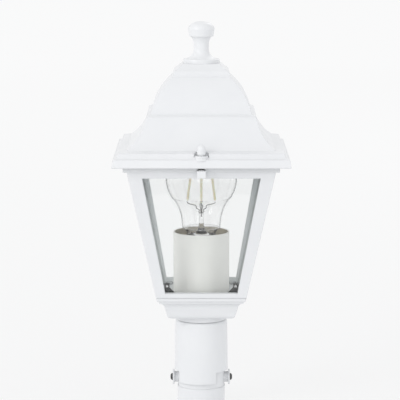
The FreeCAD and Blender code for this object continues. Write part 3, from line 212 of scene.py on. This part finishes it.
def place(tree, stretch=(1, 1, 1)):
    # object coordinates are metres in the lantern's own frame
    spot = tree.nodes.new("ShaderNodeTexCoord")
    node = tree.nodes.new("ShaderNodeMapping")
    node.inputs["Scale"].default_value = stretch
    tree.links.new(spot.outputs["Object"], node.inputs["Vector"])
    return node.outputs["Vector"]


def noise(tree, scale, detail=2.0, rough=0.5, stretch=(1, 1, 1)):
    node = tree.nodes.new("ShaderNodeTexNoise")
    feed(tree, scale, node.inputs["Scale"])
    node.inputs["Detail"].default_value = detail
    node.inputs["Roughness"].default_value = rough
    tree.links.new(place(tree, stretch), node.inputs["Vector"])
    return node.outputs["Fac"]


def spread(tree, clouds, low=0.0, high=1.0):
    # noise keeps to its middle, so that part is stretched over the whole range
    return remap(tree, clouds, 0.3, 0.7, low, high)


dimpling = {"coarse": 0.8, "fine": 0.2, "finer": 3.1}


def makeOrangePeel():
    # sprayed powder: soft dimples, with a slow drift in thickness
    tree, given, out = newGroup("orangePeel", {"Dimples per m": 900, "Drift per m": 22},
                                ["Height", "Drift"])
    dimples = noise(tree, given.outputs["Dimples per m"], 1.5, 0.45)
    fine = noise(tree, calc(tree, "MULTIPLY", given.outputs["Dimples per m"], dimpling["finer"]),
                 2.0, 0.5)
    height = calc(tree, "ADD", calc(tree, "MULTIPLY", dimples, dimpling["coarse"]),
                  calc(tree, "MULTIPLY", fine, dimpling["fine"]))
    tree.links.new(height, out.inputs["Height"])
    tree.links.new(noise(tree, given.outputs["Drift per m"], 3.0, 0.55), out.inputs["Drift"])
    return tree


rubbing = {"samples": 4, "flat": 0.995, "sharp": 0.86, "patches": (0.42, 0.62)}


def makeEdgeRub():
    # where corners are rubbed: the rounded normal leaves the true one
    tree, given, out = newGroup("edgeRub", {"Width": 0.0006, "Breakup per m": 350}, ["Mask"])
    rounded = tree.nodes.new("ShaderNodeBevel")
    rounded.samples = rubbing["samples"]
    tree.links.new(given.outputs["Width"], rounded.inputs["Radius"])
    true = tree.nodes.new("ShaderNodeNewGeometry")
    compare = tree.nodes.new("ShaderNodeVectorMath")
    compare.operation = "DOT_PRODUCT"
    tree.links.new(rounded.outputs["Normal"], compare.inputs[0])
    tree.links.new(true.outputs["Normal"], compare.inputs[1])
    edge = remap(tree, compare.outputs["Value"], rubbing["flat"], rubbing["sharp"])
    patchy = remap(tree, noise(tree, given.outputs["Breakup per m"], 3.0, 0.6), *rubbing["patches"])
    tree.links.new(calc(tree, "MULTIPLY", edge, patchy, True), out.inputs["Mask"])
    return tree


dustAndShadeSettings = {"samples": 4, "open": 0.85, "shut": 0.35, "thinnest": 0.45}


def makeCreviceDustAndShade():
    # dust that gathers in inside corners, and painted shade there: an ambient occlusion mask, broken up
    # by noise
    tree, given, out = newGroup("creviceDustAndShade", {"Reach": 0.006, "Breakup per m": 160}, ["Mask"])
    closed = tree.nodes.new("ShaderNodeAmbientOcclusion")
    closed.samples = dustAndShadeSettings["samples"]
    tree.links.new(given.outputs["Reach"], closed.inputs["Distance"])
    deep = remap(tree, closed.outputs["AO"], dustAndShadeSettings["open"], dustAndShadeSettings["shut"])
    patchy = spread(tree, noise(tree, given.outputs["Breakup per m"], 4.0, 0.6), dustAndShadeSettings["thinnest"])
    tree.links.new(calc(tree, "MULTIPLY", deep, patchy, True), out.inputs["Mask"])
    return tree


def makeFineGrain():
    # moulded or foamed skin
    tree, given, out = newGroup("fineGrain", {"Grains per m": 2500, "Clouds per m": 60},
                                ["Height", "Clouds"])
    tree.links.new(noise(tree, given.outputs["Grains per m"], 3.0, 0.6), out.inputs["Height"])
    tree.links.new(noise(tree, given.outputs["Clouds per m"], 3.0, 0.55), out.inputs["Clouds"])
    return tree


def makeDrawnLines():
    # fine lines round a turned or drawn metal piece
    tree, given, out = newGroup("drawnLines", {"Lines per m": 9000, "Clouds per m": 120},
                                ["Height", "Clouds"])
    tree.links.new(noise(tree, given.outputs["Lines per m"], 2.0, 0.6, (0.04, 0.04, 1)),
                   out.inputs["Height"])
    tree.links.new(noise(tree, given.outputs["Clouds per m"], 3.0, 0.5), out.inputs["Clouds"])
    return tree


def makeThreadRidges():
    # a right-handed thread about the lantern's axis
    tree, given, out = newGroup("threadRidges", {"Pitch": 0.001}, ["Height"])
    spot = tree.nodes.new("ShaderNodeSeparateXYZ")
    tree.links.new(place(tree), spot.inputs[0])
    turn = calc(tree, "DIVIDE", calc(tree, "ARCTAN2", spot.outputs["Y"], spot.outputs["X"]), math.tau)
    climb = calc(tree, "DIVIDE", spot.outputs["Z"], given.outputs["Pitch"])
    ahead = calc(tree, "ADD", calc(tree, "SUBTRACT", climb, turn), 100.0)    # keeps it over zero
    phase = calc(tree, "FRACT", ahead)
    tree.links.new(calc(tree, "PINGPONG", phase, 0.5), out.inputs["Height"])
    return tree


orangePeel = makeOrangePeel()
edgeRub = makeEdgeRub()
creviceDustAndShade = makeCreviceDustAndShade()
fineGrain = makeFineGrain()
drawnLines = makeDrawnLines()
threadRidges = makeThreadRidges()
print("shared effects are made")


def newFinish(name):
    material = bpy.data.materials.new(name)
    material.use_nodes = True
    tree = material.node_tree
    tree.nodes.clear()
    surface = tree.nodes.new("ShaderNodeBsdfPrincipled")
    out = tree.nodes.new("ShaderNodeOutputMaterial")
    tree.links.new(surface.outputs["BSDF"], out.inputs["Surface"])
    return material, tree, surface, out


def effect(tree, group, **values):
    node = tree.nodes.new("ShaderNodeGroup")
    node.node_tree = group
    for label, value in values.items():
        node.inputs[label.replace("_", " ")].default_value = value
    return node.outputs


def blendColour(tree, share, first, second):
    node = tree.nodes.new("ShaderNodeMix")
    node.data_type = "RGBA"
    tree.links.new(share, node.inputs[0])
    for item, socket in ((first, node.inputs[6]), (second, node.inputs[7])):
        if isinstance(item, tuple):
            socket.default_value = (*item, 1)
        else:
            tree.links.new(item, socket)
    return node.outputs[2]


def glossRange(tree, clouds, look):
    duller, shinier = look["swing"]
    return spread(tree, clouds, look["roughness"] - shinier, look["roughness"] + duller)


reliefSamples = 6


def relief(tree, surface, height, depth, rounding=0.0):
    bump = tree.nodes.new("ShaderNodeBump")
    bump.inputs["Distance"].default_value = depth
    bump.inputs["Strength"].default_value = 1.0
    tree.links.new(height, bump.inputs["Height"])
    if rounding:
        rounded = tree.nodes.new("ShaderNodeBevel")
        rounded.samples = reliefSamples
        rounded.inputs["Radius"].default_value = rounding
        tree.links.new(rounded.outputs["Normal"], bump.inputs["Normal"])
    tree.links.new(bump.outputs["Normal"], surface.inputs["Normal"])


def coatFinish(name, look):
    # sprayed powder or paint
    material, tree, surface, _ = newFinish(name)
    peel = effect(tree, orangePeel, Dimples_per_m=look["dimples"])
    rub = effect(tree, edgeRub, Width=look["rubWidth"])
    dustAndShade = effect(tree, creviceDustAndShade)
    tone = blendColour(tree, spread(tree, peel["Drift"]), look["tone"], look["toneDrift"])
    # dust and painted shade: the occlusion mask blends the tone towards a darker one in inside corners
    tone = blendColour(tree, calc(tree, "MULTIPLY", dustAndShade["Mask"], look["dustAndShade"]), tone, look["dustAndShadeTone"])
    tone = blendColour(tree, calc(tree, "MULTIPLY", rub["Mask"], look["rub"]), tone, look["rubTone"])
    tree.links.new(tone, surface.inputs["Base Color"])
    gloss = glossRange(tree, peel["Drift"], look)
    gloss = calc(tree, "ADD", gloss, calc(tree, "MULTIPLY", dustAndShade["Mask"], look["dustDulls"]), True)
    tree.links.new(gloss, surface.inputs["Roughness"])
    surface.inputs["Coat Weight"].default_value = look["coat"]
    surface.inputs["Coat Roughness"].default_value = look["coatRoughness"]
    relief(tree, surface, peel["Height"], look["depth"], look["rounding"])
    return material


def mouldedFinish(name, look):
    # moulded plastic, ceramic and rubber
    material, tree, surface, _ = newFinish(name)
    grain = effect(tree, fineGrain, Grains_per_m=look["grains"])
    dustAndShade = effect(tree, creviceDustAndShade)
    tone = blendColour(tree, spread(tree, grain["Clouds"]), look["tone"], look["toneDrift"])
    # dust and painted shade: the occlusion mask blends the tone towards the crevice tone, darker on
    # pale mouldings
    tone = blendColour(tree, calc(tree, "MULTIPLY", dustAndShade["Mask"], look["dustAndShade"]), tone, look["dustAndShadeTone"])
    tree.links.new(tone, surface.inputs["Base Color"])
    tree.links.new(glossRange(tree, grain["Clouds"], look), surface.inputs["Roughness"])
    if look.get("softness"):
        surface.inputs["Subsurface Weight"].default_value = look["softness"]
        surface.inputs["Subsurface Scale"].default_value = look["softDepth"]
    relief(tree, surface, grain["Height"], look["depth"], look["rounding"])
    return material


def metalFinish(name, look):
    material, tree, surface, _ = newFinish(name)
    lines = effect(tree, drawnLines)
    dull = effect(tree, creviceDustAndShade, Reach=look["tarnishReach"])
    surface.inputs["Metallic"].default_value = 1.0
    tone = blendColour(tree, spread(tree, lines["Clouds"]), look["tone"], look["toneDrift"])
    tone = blendColour(tree, calc(tree, "MULTIPLY", dull["Mask"], look["tarnish"]), tone,
                       look["tarnishTone"])
    tree.links.new(tone, surface.inputs["Base Color"])
    tree.links.new(glossRange(tree, lines["Clouds"], look), surface.inputs["Roughness"])
    height = lines["Height"]
    if look.get("pitch"):
        ridges = effect(tree, threadRidges, Pitch=look["pitch"])
        height = calc(tree, "ADD", calc(tree, "MULTIPLY", height, look["lineShare"]), ridges["Height"])
    relief(tree, surface, height, look["depth"], look["rounding"])
    return material


def glassFinish(name, look):
    # clear glass: a colour that deepens with the way through it, faint smears, and clear shadows, with
    # painted shade where the glass is seen at a grazing angle
    material, tree, surface, out = newFinish(name)
    slant = tree.nodes.new("ShaderNodeLayerWeight")
    # painted shade: the colour darkens towards a dark tone as the glass is seen more edge-on
    grazingShade = calc(tree, "POWER", slant.outputs["Facing"], look["grazingShadePower"])
    tree.links.new(blendColour(tree, grazingShade, look["tone"], look["grazingShadeTone"]),
                   surface.inputs["Base Color"])
    surface.inputs["Transmission Weight"].default_value = 1.0
    surface.inputs["IOR"].default_value = look["ior"]
    smear = effect(tree, fineGrain, Grains_per_m=look["ripple"], Clouds_per_m=look["smears"])
    tree.links.new(remap(tree, smear["Clouds"], *look["smearFrom"], 0.0, look["smear"]),
                   surface.inputs["Roughness"])
    relief(tree, surface, smear["Height"], look["depth"])
    clear = tree.nodes.new("ShaderNodeBsdfTransparent")
    clear.inputs["Color"].default_value = (*look["shadow"], 1)
    rays = tree.nodes.new("ShaderNodeLightPath").outputs
    through = calc(tree, "MAXIMUM", rays["Is Shadow Ray"], rays["Is Diffuse Ray"])
    mixShaders(tree, through, surface.outputs["BSDF"], clear.outputs[0], out)
    if look["deepening"]:
        inside = tree.nodes.new("ShaderNodeVolumeAbsorption")
        inside.inputs["Color"].default_value = (*look["deepTone"], 1)
        inside.inputs["Density"].default_value = look["deepening"]
        tree.links.new(inside.outputs[0], out.inputs["Volume"])
    return material


def sleeveFinish(name, look):
    # the moulded sleeve, browner and duller inside its bore, where that darker tone is painted shade
    material = mouldedFinish(name, look)
    tree = material.node_tree
    surface = next(node for node in tree.nodes if node.type == "BSDF_PRINCIPLED")
    outside = surface.inputs["Base Color"].links[0].from_socket
    spot = tree.nodes.new("ShaderNodeSeparateXYZ")
    tree.links.new(place(tree), spot.inputs[0])
    across = calc(tree, "MULTIPLY", spot.outputs["X"], spot.outputs["X"])
    along = calc(tree, "MULTIPLY", spot.outputs["Y"], spot.outputs["Y"])
    reach = calc(tree, "SQRT", calc(tree, "ADD", across, along))
    inside = remap(tree, reach, look["boreEdge"], look["boreEdge"] - look["boreBlend"])
    # painted shade: the bore takes a darker, browner tone
    tree.links.new(blendColour(tree, inside, outside, look["boreShadeTone"]), surface.inputs["Base Color"])
    return material


def dress(material, *names):
    for name in names:
        for slot in nodes[name].material_slots:
            slot.material = material


whitePaint = {"tone": (0.80, 0.808, 0.82), "toneDrift": (0.775, 0.785, 0.80), "roughness": 0.42,
              "swing": (0.05, 0.05), "dimples": 950, "depth": 0.00002, "rounding": 0.0005,
              "coat": 0.2, "coatRoughness": 0.25,
              "rubWidth": 0.0007, "rub": 0.12, "rubTone": (0.70, 0.70, 0.70),
              # dust and painted shade in crevices: a grey tone laid on through the occlusion mask
              "dustAndShade": 0.12, "dustAndShadeTone": (0.55, 0.54, 0.52), "dustDulls": 0.25}
whiteCoat = coatFinish("whitePowderCoat", whitePaint)
dress(whiteCoat, "post_tube", "post_screw_bosses", "collar", "base_plinth", "cage_frame", "roof",
      "finial", "roof_screw_front", "roof_screw_back", "roof_screw_washers", "clamp_washers")
# the floor plate: the white paint with its tone darkened to grey, which is painted shade inside the
# cage
dress(coatFinish("whitePaintShadedGrey", {**whitePaint, "tone": (0.62, 0.63, 0.64),
                                    "toneDrift": (0.58, 0.59, 0.60)}), "floor_plate")
dress(coatFinish("blackScrewCoat", {**whitePaint, "tone": (0.02, 0.02, 0.021),
                                    "toneDrift": (0.03, 0.03, 0.031), "roughness": 0.34,
                                    "dimples": 3000, "depth": 0.00001, "rounding": 0.0002,
                                    "rub": 0.5, "rubTone": (0.12, 0.12, 0.125),
                                    "dustAndShade": 0.3, "dustAndShadeTone": (0.12, 0.115, 0.11)}),
      "clamp_screw_right", "clamp_screw_left")

steel = {"tone": (0.66, 0.67, 0.68), "toneDrift": (0.58, 0.59, 0.60), "roughness": 0.26,
         "swing": (0.08, 0.06), "depth": 0.000006, "rounding": 0.00015, "lineShare": 0.04,
         "tarnish": 0.5, "tarnishTone": (0.20, 0.19, 0.18), "tarnishReach": 0.003}
dress(metalFinish("plainStainless", steel), "pane_clip_screws", "floor_plate_screws")
zinc = {**steel, "tone": (0.60, 0.62, 0.64), "toneDrift": (0.52, 0.54, 0.58), "roughness": 0.34}
dress(metalFinish("zincPlate", zinc), "neck_nut_lower", "neck_nut_upper", "neck_lock_washer",
      "lampholder_screws", "earth_screw", "finial_washer", "finial_nut", "terminal_block_screws")
dress(metalFinish("zincThread", {**zinc, "pitch": 0.001, "depth": 0.0006}), "neck_nipple",
      "finial_stud")
brass = {**steel, "tone": (0.72, 0.53, 0.23), "toneDrift": (0.62, 0.44, 0.18), "roughness": 0.3,
         "tarnishTone": (0.16, 0.10, 0.05)}
dress(metalFinish("plainBrass", brass), "lampholder_centre_contact", "lampholder_side_contact",
      "lampholder_terminals", "terminal_block_inserts", "earth_tag")
dress(metalFinish("brassShellThread", {**brass, "pitch": 0.00363, "depth": 0.0011}),
      "lampholder_shell")
dress(metalFinish("leadSolder", {**steel, "tone": (0.50, 0.50, 0.49), "toneDrift": (0.42, 0.42, 0.41),
                                 "roughness": 0.42, "depth": 0.00003}), "bulb_cap_contact")

# the crevice tone is dust on dark mouldings and painted shade on pale ones, such as the sleeve
moulding = {"roughness": 0.45, "swing": (0.06, 0.06), "softDepth": 0.002, "grains": 2600,
            "depth": 0.00002, "rounding": 0.0003, "dustAndShade": 0.3, "dustAndShadeTone": (0.40, 0.38, 0.35)}
dress(mouldedFinish("blackRubber", {**moulding, "tone": (0.018, 0.018, 0.018),
                                    "toneDrift": (0.032, 0.031, 0.030), "roughness": 0.62,
                                    "depth": 0.00005, "dustAndShadeTone": (0.10, 0.10, 0.095)}),
      "pane_clips", "roof_screw_retainer_front", "roof_screw_retainer_back")
dress(mouldedFinish("foamStrip", {**moulding, "tone": (0.055, 0.055, 0.056),
                                  "toneDrift": (0.085, 0.085, 0.085), "roughness": 0.9,
                                  "grains": 1400, "depth": 0.0002, "rounding": 0.0002}), "roof_gasket")
dress(mouldedFinish("blackNylon", {**moulding, "tone": (0.03, 0.03, 0.031),
                                   "toneDrift": (0.04, 0.04, 0.041)}), "lead_bushing")
dress(mouldedFinish("brownPhenolic", {**moulding, "tone": (0.060, 0.030, 0.018),
                                      "toneDrift": (0.090, 0.048, 0.028), "roughness": 0.32}),
      "lampholder_body")
dress(sleeveFinish("puttySleeve", {**moulding, "tone": (0.90, 0.885, 0.85),
                                    "toneDrift": (0.87, 0.855, 0.82), "roughness": 0.5,
                                    "depth": 0.00003, "dustAndShadeTone": (0.36, 0.33, 0.28),
                                    "boreEdge": 0.0225, "boreBlend": 0.0002,
                                    "boreShadeTone": (0.58, 0.52, 0.41)}),
      "lampholder_sleeve")
dress(mouldedFinish("naturalBlock", {**moulding, "tone": (0.74, 0.72, 0.64),
                                     "toneDrift": (0.70, 0.68, 0.60), "softness": 0.15}),
      "terminal_block")
dress(mouldedFinish("brownLead", {**moulding, "tone": (0.10, 0.045, 0.02),
                                  "toneDrift": (0.13, 0.06, 0.03)}), "lead_live")
dress(mouldedFinish("blueLead", {**moulding, "tone": (0.03, 0.10, 0.34),
                                 "toneDrift": (0.04, 0.13, 0.40)}), "lead_neutral")
dress(mouldedFinish("blackVitrite", {**moulding, "tone": (0.012, 0.012, 0.015),
                                     "toneDrift": (0.02, 0.02, 0.024), "roughness": 0.16,
                                     "depth": 0.00001}), "bulb_cap_insulator")


earthLead = {"green": (0.04, 0.26, 0.06), "yellow": (0.80, 0.62, 0.05), "stripeFrom": 0.0002,
             "roughness": (0.38, 0.5), "depth": 0.00002, "rounding": 0.0002}


def stripedLead():
    # green insulation with a yellow stripe along it
    material, tree, surface, _ = newFinish("greenYellowLead")
    grain = effect(tree, fineGrain)
    spot = tree.nodes.new("ShaderNodeSeparateXYZ")
    tree.links.new(place(tree), spot.inputs[0])
    stripe = calc(tree, "GREATER_THAN", spot.outputs["X"], earthLead["stripeFrom"])
    tree.links.new(blendColour(tree, stripe, earthLead["green"], earthLead["yellow"]),
                   surface.inputs["Base Color"])
    tree.links.new(spread(tree, grain["Clouds"], *earthLead["roughness"]),
                   surface.inputs["Roughness"])
    relief(tree, surface, grain["Height"], earthLead["depth"], earthLead["rounding"])
    return material


dress(stripedLead(), "lead_earth")

# the grazing tone and power set the painted shade of glass seen edge-on
paneGlass = {"tone": (1, 1, 1), "ior": 1.5, "ripple": 18, "smears": 30, "smear": 0.03,
             "smearFrom": (0.45, 0.75), "depth": 0.000004, "shadow": (0.985, 0.99, 0.988),
             "deepTone": (0.42, 0.60, 0.57), "deepening": 12,
             "grazingShadeTone": (0.015, 0.028, 0.026), "grazingShadePower": 1.5}
dress(glassFinish("clearPane", paneGlass), "pane_front", "pane_right", "pane_back", "pane_left")
dress(glassFinish("blownGlass", {**paneGlass, "ripple": 60, "depth": 0.00003, "smear": 0.02,
                                 "shadow": (0.98, 0.98, 0.98), "deepTone": (0.55, 0.58, 0.60),
                                 "deepening": 3, "grazingShadeTone": (0.42, 0.42, 0.42),
                                 "grazingShadePower": 7.0}), "bulb_glass")
drawnGlass = glassFinish("drawnGlass", {**paneGlass, "ripple": 200, "depth": 0.00005, "smear": 0.05,
                                        "shadow": (0.96, 0.97, 0.97), "deepening": 0,
                                        "grazingShadeTone": (0.45, 0.46, 0.46), "grazingShadePower": 4.0})
dress(drawnGlass, "bulb_stem")
wireMetal = metalFinish("dullWire", {**steel, "tone": (0.26, 0.25, 0.24),
                                     "toneDrift": (0.19, 0.18, 0.17), "roughness": 0.45})
capMetal = metalFinish("nickelCap", {**steel, "tone": (0.66, 0.64, 0.60),
                                     "toneDrift": (0.58, 0.56, 0.53), "roughness": 0.24})
phosphor = mouldedFinish("yellowPhosphor", {**moulding, "tone": (0.98, 0.88, 0.60),
                                            "toneDrift": (0.98, 0.91, 0.70), "roughness": 0.5,
                                            "grains": 9000, "depth": 0.00006, "softness": 0.3,
                                            "dustAndShade": 0.0})
print("finishes are on the CAD nodes")


def addMesh(name, points, faces, material, smooth=True):
    mesh = bpy.data.meshes.new(name)
    mesh.from_pydata(points, [], faces)
    mesh.materials.append(material)
    if smooth:
        mesh.shade_smooth()
    piece = bpy.data.objects.new(name, mesh)
    bpy.context.collection.objects.link(piece)
    return piece


def tubeFaces(base, rows, segments):
    faces = []
    for row in range(rows):
        first = base + row * segments
        second = first + segments
        for step in range(segments):
            after = (step + 1) % segments
            faces.append((first + step, first + after, second + after, second + step))
    return faces


def lathe(rings, segments, radiusAt=None):
    # rings of (radius, height); radiusAt can move a ring's radius with the angle
    points = []
    for radius, height in rings:
        for step in range(segments):
            angle = math.tau * step / segments
            reach = radiusAt(radius, height, angle) if radiusAt else radius
            points.append((reach * math.cos(angle), reach * math.sin(angle), height))
    return points, tubeFaces(0, len(rings) - 1, segments)


capThread = {"pitch": 3.63, "depth": 0.7, "segments": 96, "rowsPerTurn": 14, "wall": 0.45,
             "footRise": 0.8, "skirt": 3.2, "fade": 2.0, "crestShape": 0.75, "slack": 0.01,
             "footInset": 2.0, "footRound": 0.25, "seam": 0.02, "neck": (0.3, 0.5), "lip": (0.2, 0.9),
             "lipRound": 0.4, "mouthInset": 0.35, "boreStep": 0.1, "boreLow": 1.6,
             "floor": (2.9, 0.9), "centre": (0.5, 0.85)}


def makeCapThread():
    # the rolled thread is one right-handed helix that fades out at both ends
    low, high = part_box("bulb_cap")
    look = capThread
    crest, bottom, top = high.x / mm, low.z / mm, high.z / mm
    valley = crest - look["depth"]
    start, stop = bottom + look["footRise"], top - look["skirt"]

    def threaded(radius, height, angle):
        level = height / mm
        if radius / mm < valley - look["slack"] or not start < level < stop:
            return radius
        phase = level / look["pitch"] - angle / math.tau
        wave = (0.5 + 0.5 * math.cos(math.tau * phase)) ** look["crestShape"]
        fade = min((level - start) / look["fade"], (stop - level) / look["fade"], 1)
        return (valley + look["depth"] * wave * fade) * mm

    rows = int((stop - start) / look["pitch"] * look["rowsPerTurn"])
    bore = valley - look["wall"]
    curl = look["footRound"]
    rings = [(crest - look["footInset"], bottom), (valley - curl, bottom + curl),
             (valley - look["seam"], start)]
    rings += [(valley, start + (stop - start) * row / rows) for row in range(1, rows)]
    neckInset, neckRise = look["neck"]
    lipInset, lipRise = look["lip"]
    floorInset, floorRise = look["floor"]
    hole, holeRise = look["centre"]
    rings += [(valley, stop), (crest - neckInset, stop + neckRise), (crest - lipInset, stop + lipRise),
              (crest - lipInset, top - look["lipRound"]), (crest - look["mouthInset"], top),
              (bore, top), (bore - look["boreStep"], top - look["lipRound"]),
              (bore - look["boreStep"], bottom + look["boreLow"]),
              (crest - floorInset, bottom + floorRise), (hole, bottom + holeRise)]
    points, faces = lathe([(r * mm, z * mm) for r, z in rings], look["segments"], threaded)
    piece = addMesh("capThread", points, faces, capMetal)
    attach(piece, "bulb")
    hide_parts("bulb_cap")


quarterTurns = (0, 90, 180, 270)
filament = {"radius": 1.0, "length": 38.0, "foot": 174.5, "footReach": 11.8, "lean": 7.3,
            "rings": 36, "segments": 20, "swell": 0.05, "swellWaves": 61,
            "swellShift": 1.7, "endRings": 1.6, "tabLength": 2.4, "tabHalf": 0.42,
            "tabThick": 0.12, "tabEdge": 0.00005}


def filamentLine(turn):
    lean, angle = math.radians(filament["lean"]), math.radians(turn)
    out = Vector((math.cos(angle), math.sin(angle), 0))
    foot = out * filament["footReach"] + Vector((0, 0, filament["foot"]))
    way = Vector((0, 0, 1)) * math.cos(lean) - out * math.sin(lean)
    return foot, way, out


def stickPoints(number, foot, way, side, face):
    # round at both ends, and slightly uneven along its length
    look = filament
    points = []
    inset = look["tabLength"] * 0.5
    for ring in range(look["rings"] + 1):
        share = ring / look["rings"]
        along = inset + (look["length"] - 2 * inset) * share
        end = min(share, 1 - share) * look["rings"]
        cap = math.sqrt(max(0.0, 1 - max(0.0, 1 - end / look["endRings"]) ** 2))
        wave = math.sin(share * look["swellWaves"] + number * look["swellShift"])
        radius = look["radius"] * cap * (1 + look["swell"] * wave)
        for step in range(look["segments"]):
            angle = math.tau * step / look["segments"]
            spot = foot + way * along + (side * math.cos(angle) + face * math.sin(angle)) * radius
            points.append(spot * mm)
    return points


tabQuads = ((0, 1, 5, 4), (1, 2, 6, 5), (2, 3, 7, 6), (3, 0, 4, 7), (3, 2, 1, 0), (4, 5, 6, 7))


def tabPoints(start, foot, way, side, face):
    points = []
    for along in (start, start + filament["tabLength"]):
        for across, thick in ((-1, -1), (1, -1), (1, 1), (-1, 1)):
            spot = (foot + way * along + side * across * filament["tabHalf"]
                    + face * thick * filament["tabThick"])
            points.append(spot * mm)
    return points


def makeFilaments():
    # sticks of coated chips, with a bright metal tab at each end
    look = filament
    points, faces, tabSpots, tabFaces = [], [], [], []
    for number, turn in enumerate(quarterTurns):
        foot, way, out = filamentLine(turn)
        side = way.cross(out).normalized()
        face = side.cross(way).normalized()
        faces += tubeFaces(len(points), look["rings"], look["segments"])
        points += stickPoints(number, foot, way, side, face)
        for start in (0.0, look["length"] - look["tabLength"]):
            base = len(tabSpots)
            tabSpots += tabPoints(start, foot, way, side, face)
            tabFaces += [tuple(base + corner for corner in quad) for quad in tabQuads]
    sticks = addMesh("filamentSticks", points, faces, phosphor)
    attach(sticks, "bulb")
    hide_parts("bulb_filaments")
    tabs = addMesh("filamentTabs", tabSpots, tabFaces, wireMetal, smooth=False)
    edge = tabs.modifiers.new("softEdge", "BEVEL")
    edge.width = look["tabEdge"]
    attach(tabs, "bulb")


wires = {"radius": 0.33, "stemTop": 165.5, "seat": 3.0, "tipHang": 0.3, "stagger": 1.2,
         "staggerOver": 6, "twist": 0.25, "tipRun": 0.6, "mastShare": 0.97, "topReach": 1.2,
         "mastLift": 0.5, "topLift": 0.4, "roundSteps": 3, "curveSteps": 6,
         "bends": ((0.9, 0.3), (2.6, 1.0), (1.0, 3.0), (4.4, 4.2), (4.0, 6.6))}


def makeWires():
    # one curve with a spline for the mast and each bent arm; bends are (reach, rise) over the stem
    data = bpy.data.curves.new("supportWires", "CURVE")
    data.dimensions = "3D"
    data.bevel_depth = wires["radius"] * mm
    data.bevel_resolution = wires["roundSteps"]
    data.materials.append(wireMetal)

    def bend(*spots):
        line = data.splines.new("NURBS")
        line.points.add(len(spots) - 1)
        for point, spot in zip(line.points, spots):
            point.co = (*(spot * mm), 1)
        line.order_u = 3
        line.use_endpoint_u = True
        line.resolution_u = wires["curveSteps"]

    hub = Vector((0, 0, wires["stemTop"]))
    up = Vector((0, 0, 1))
    mastTop = up * (filament["foot"] + filament["length"] * wires["mastShare"])
    bend(hub - up * wires["seat"], (hub + mastTop) * 0.5, mastTop)
    for number, turn in enumerate(quarterTurns):
        foot, way, out = filamentLine(turn)
        side = Vector((-out.y, out.x, 0))
        lift = wires["stagger"] * (number % 2)
        arm = [hub + out * reach + side * (reach * wires["twist"])
               + up * (rise + lift * rise / wires["staggerOver"])
               for reach, rise in wires["bends"]]
        bend(arm[0], arm[1], arm[2], arm[3], arm[4], (arm[4] * 2 + foot) / 3,
             foot - up * wires["tipHang"], foot + way * wires["tipRun"])
        top = foot + way * filament["length"]
        bend(mastTop, mastTop + out * wires["topReach"] + up * wires["mastLift"],
             top - out * wires["topReach"] + up * wires["topLift"], top - way * wires["tipRun"])
    piece = bpy.data.objects.new("supportWires", data)
    bpy.context.collection.objects.link(piece)
    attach(piece, "bulb")
    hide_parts("bulb_support_wires")


makeCapThread()
makeFilaments()
makeWires()
print("lamp is dressed")
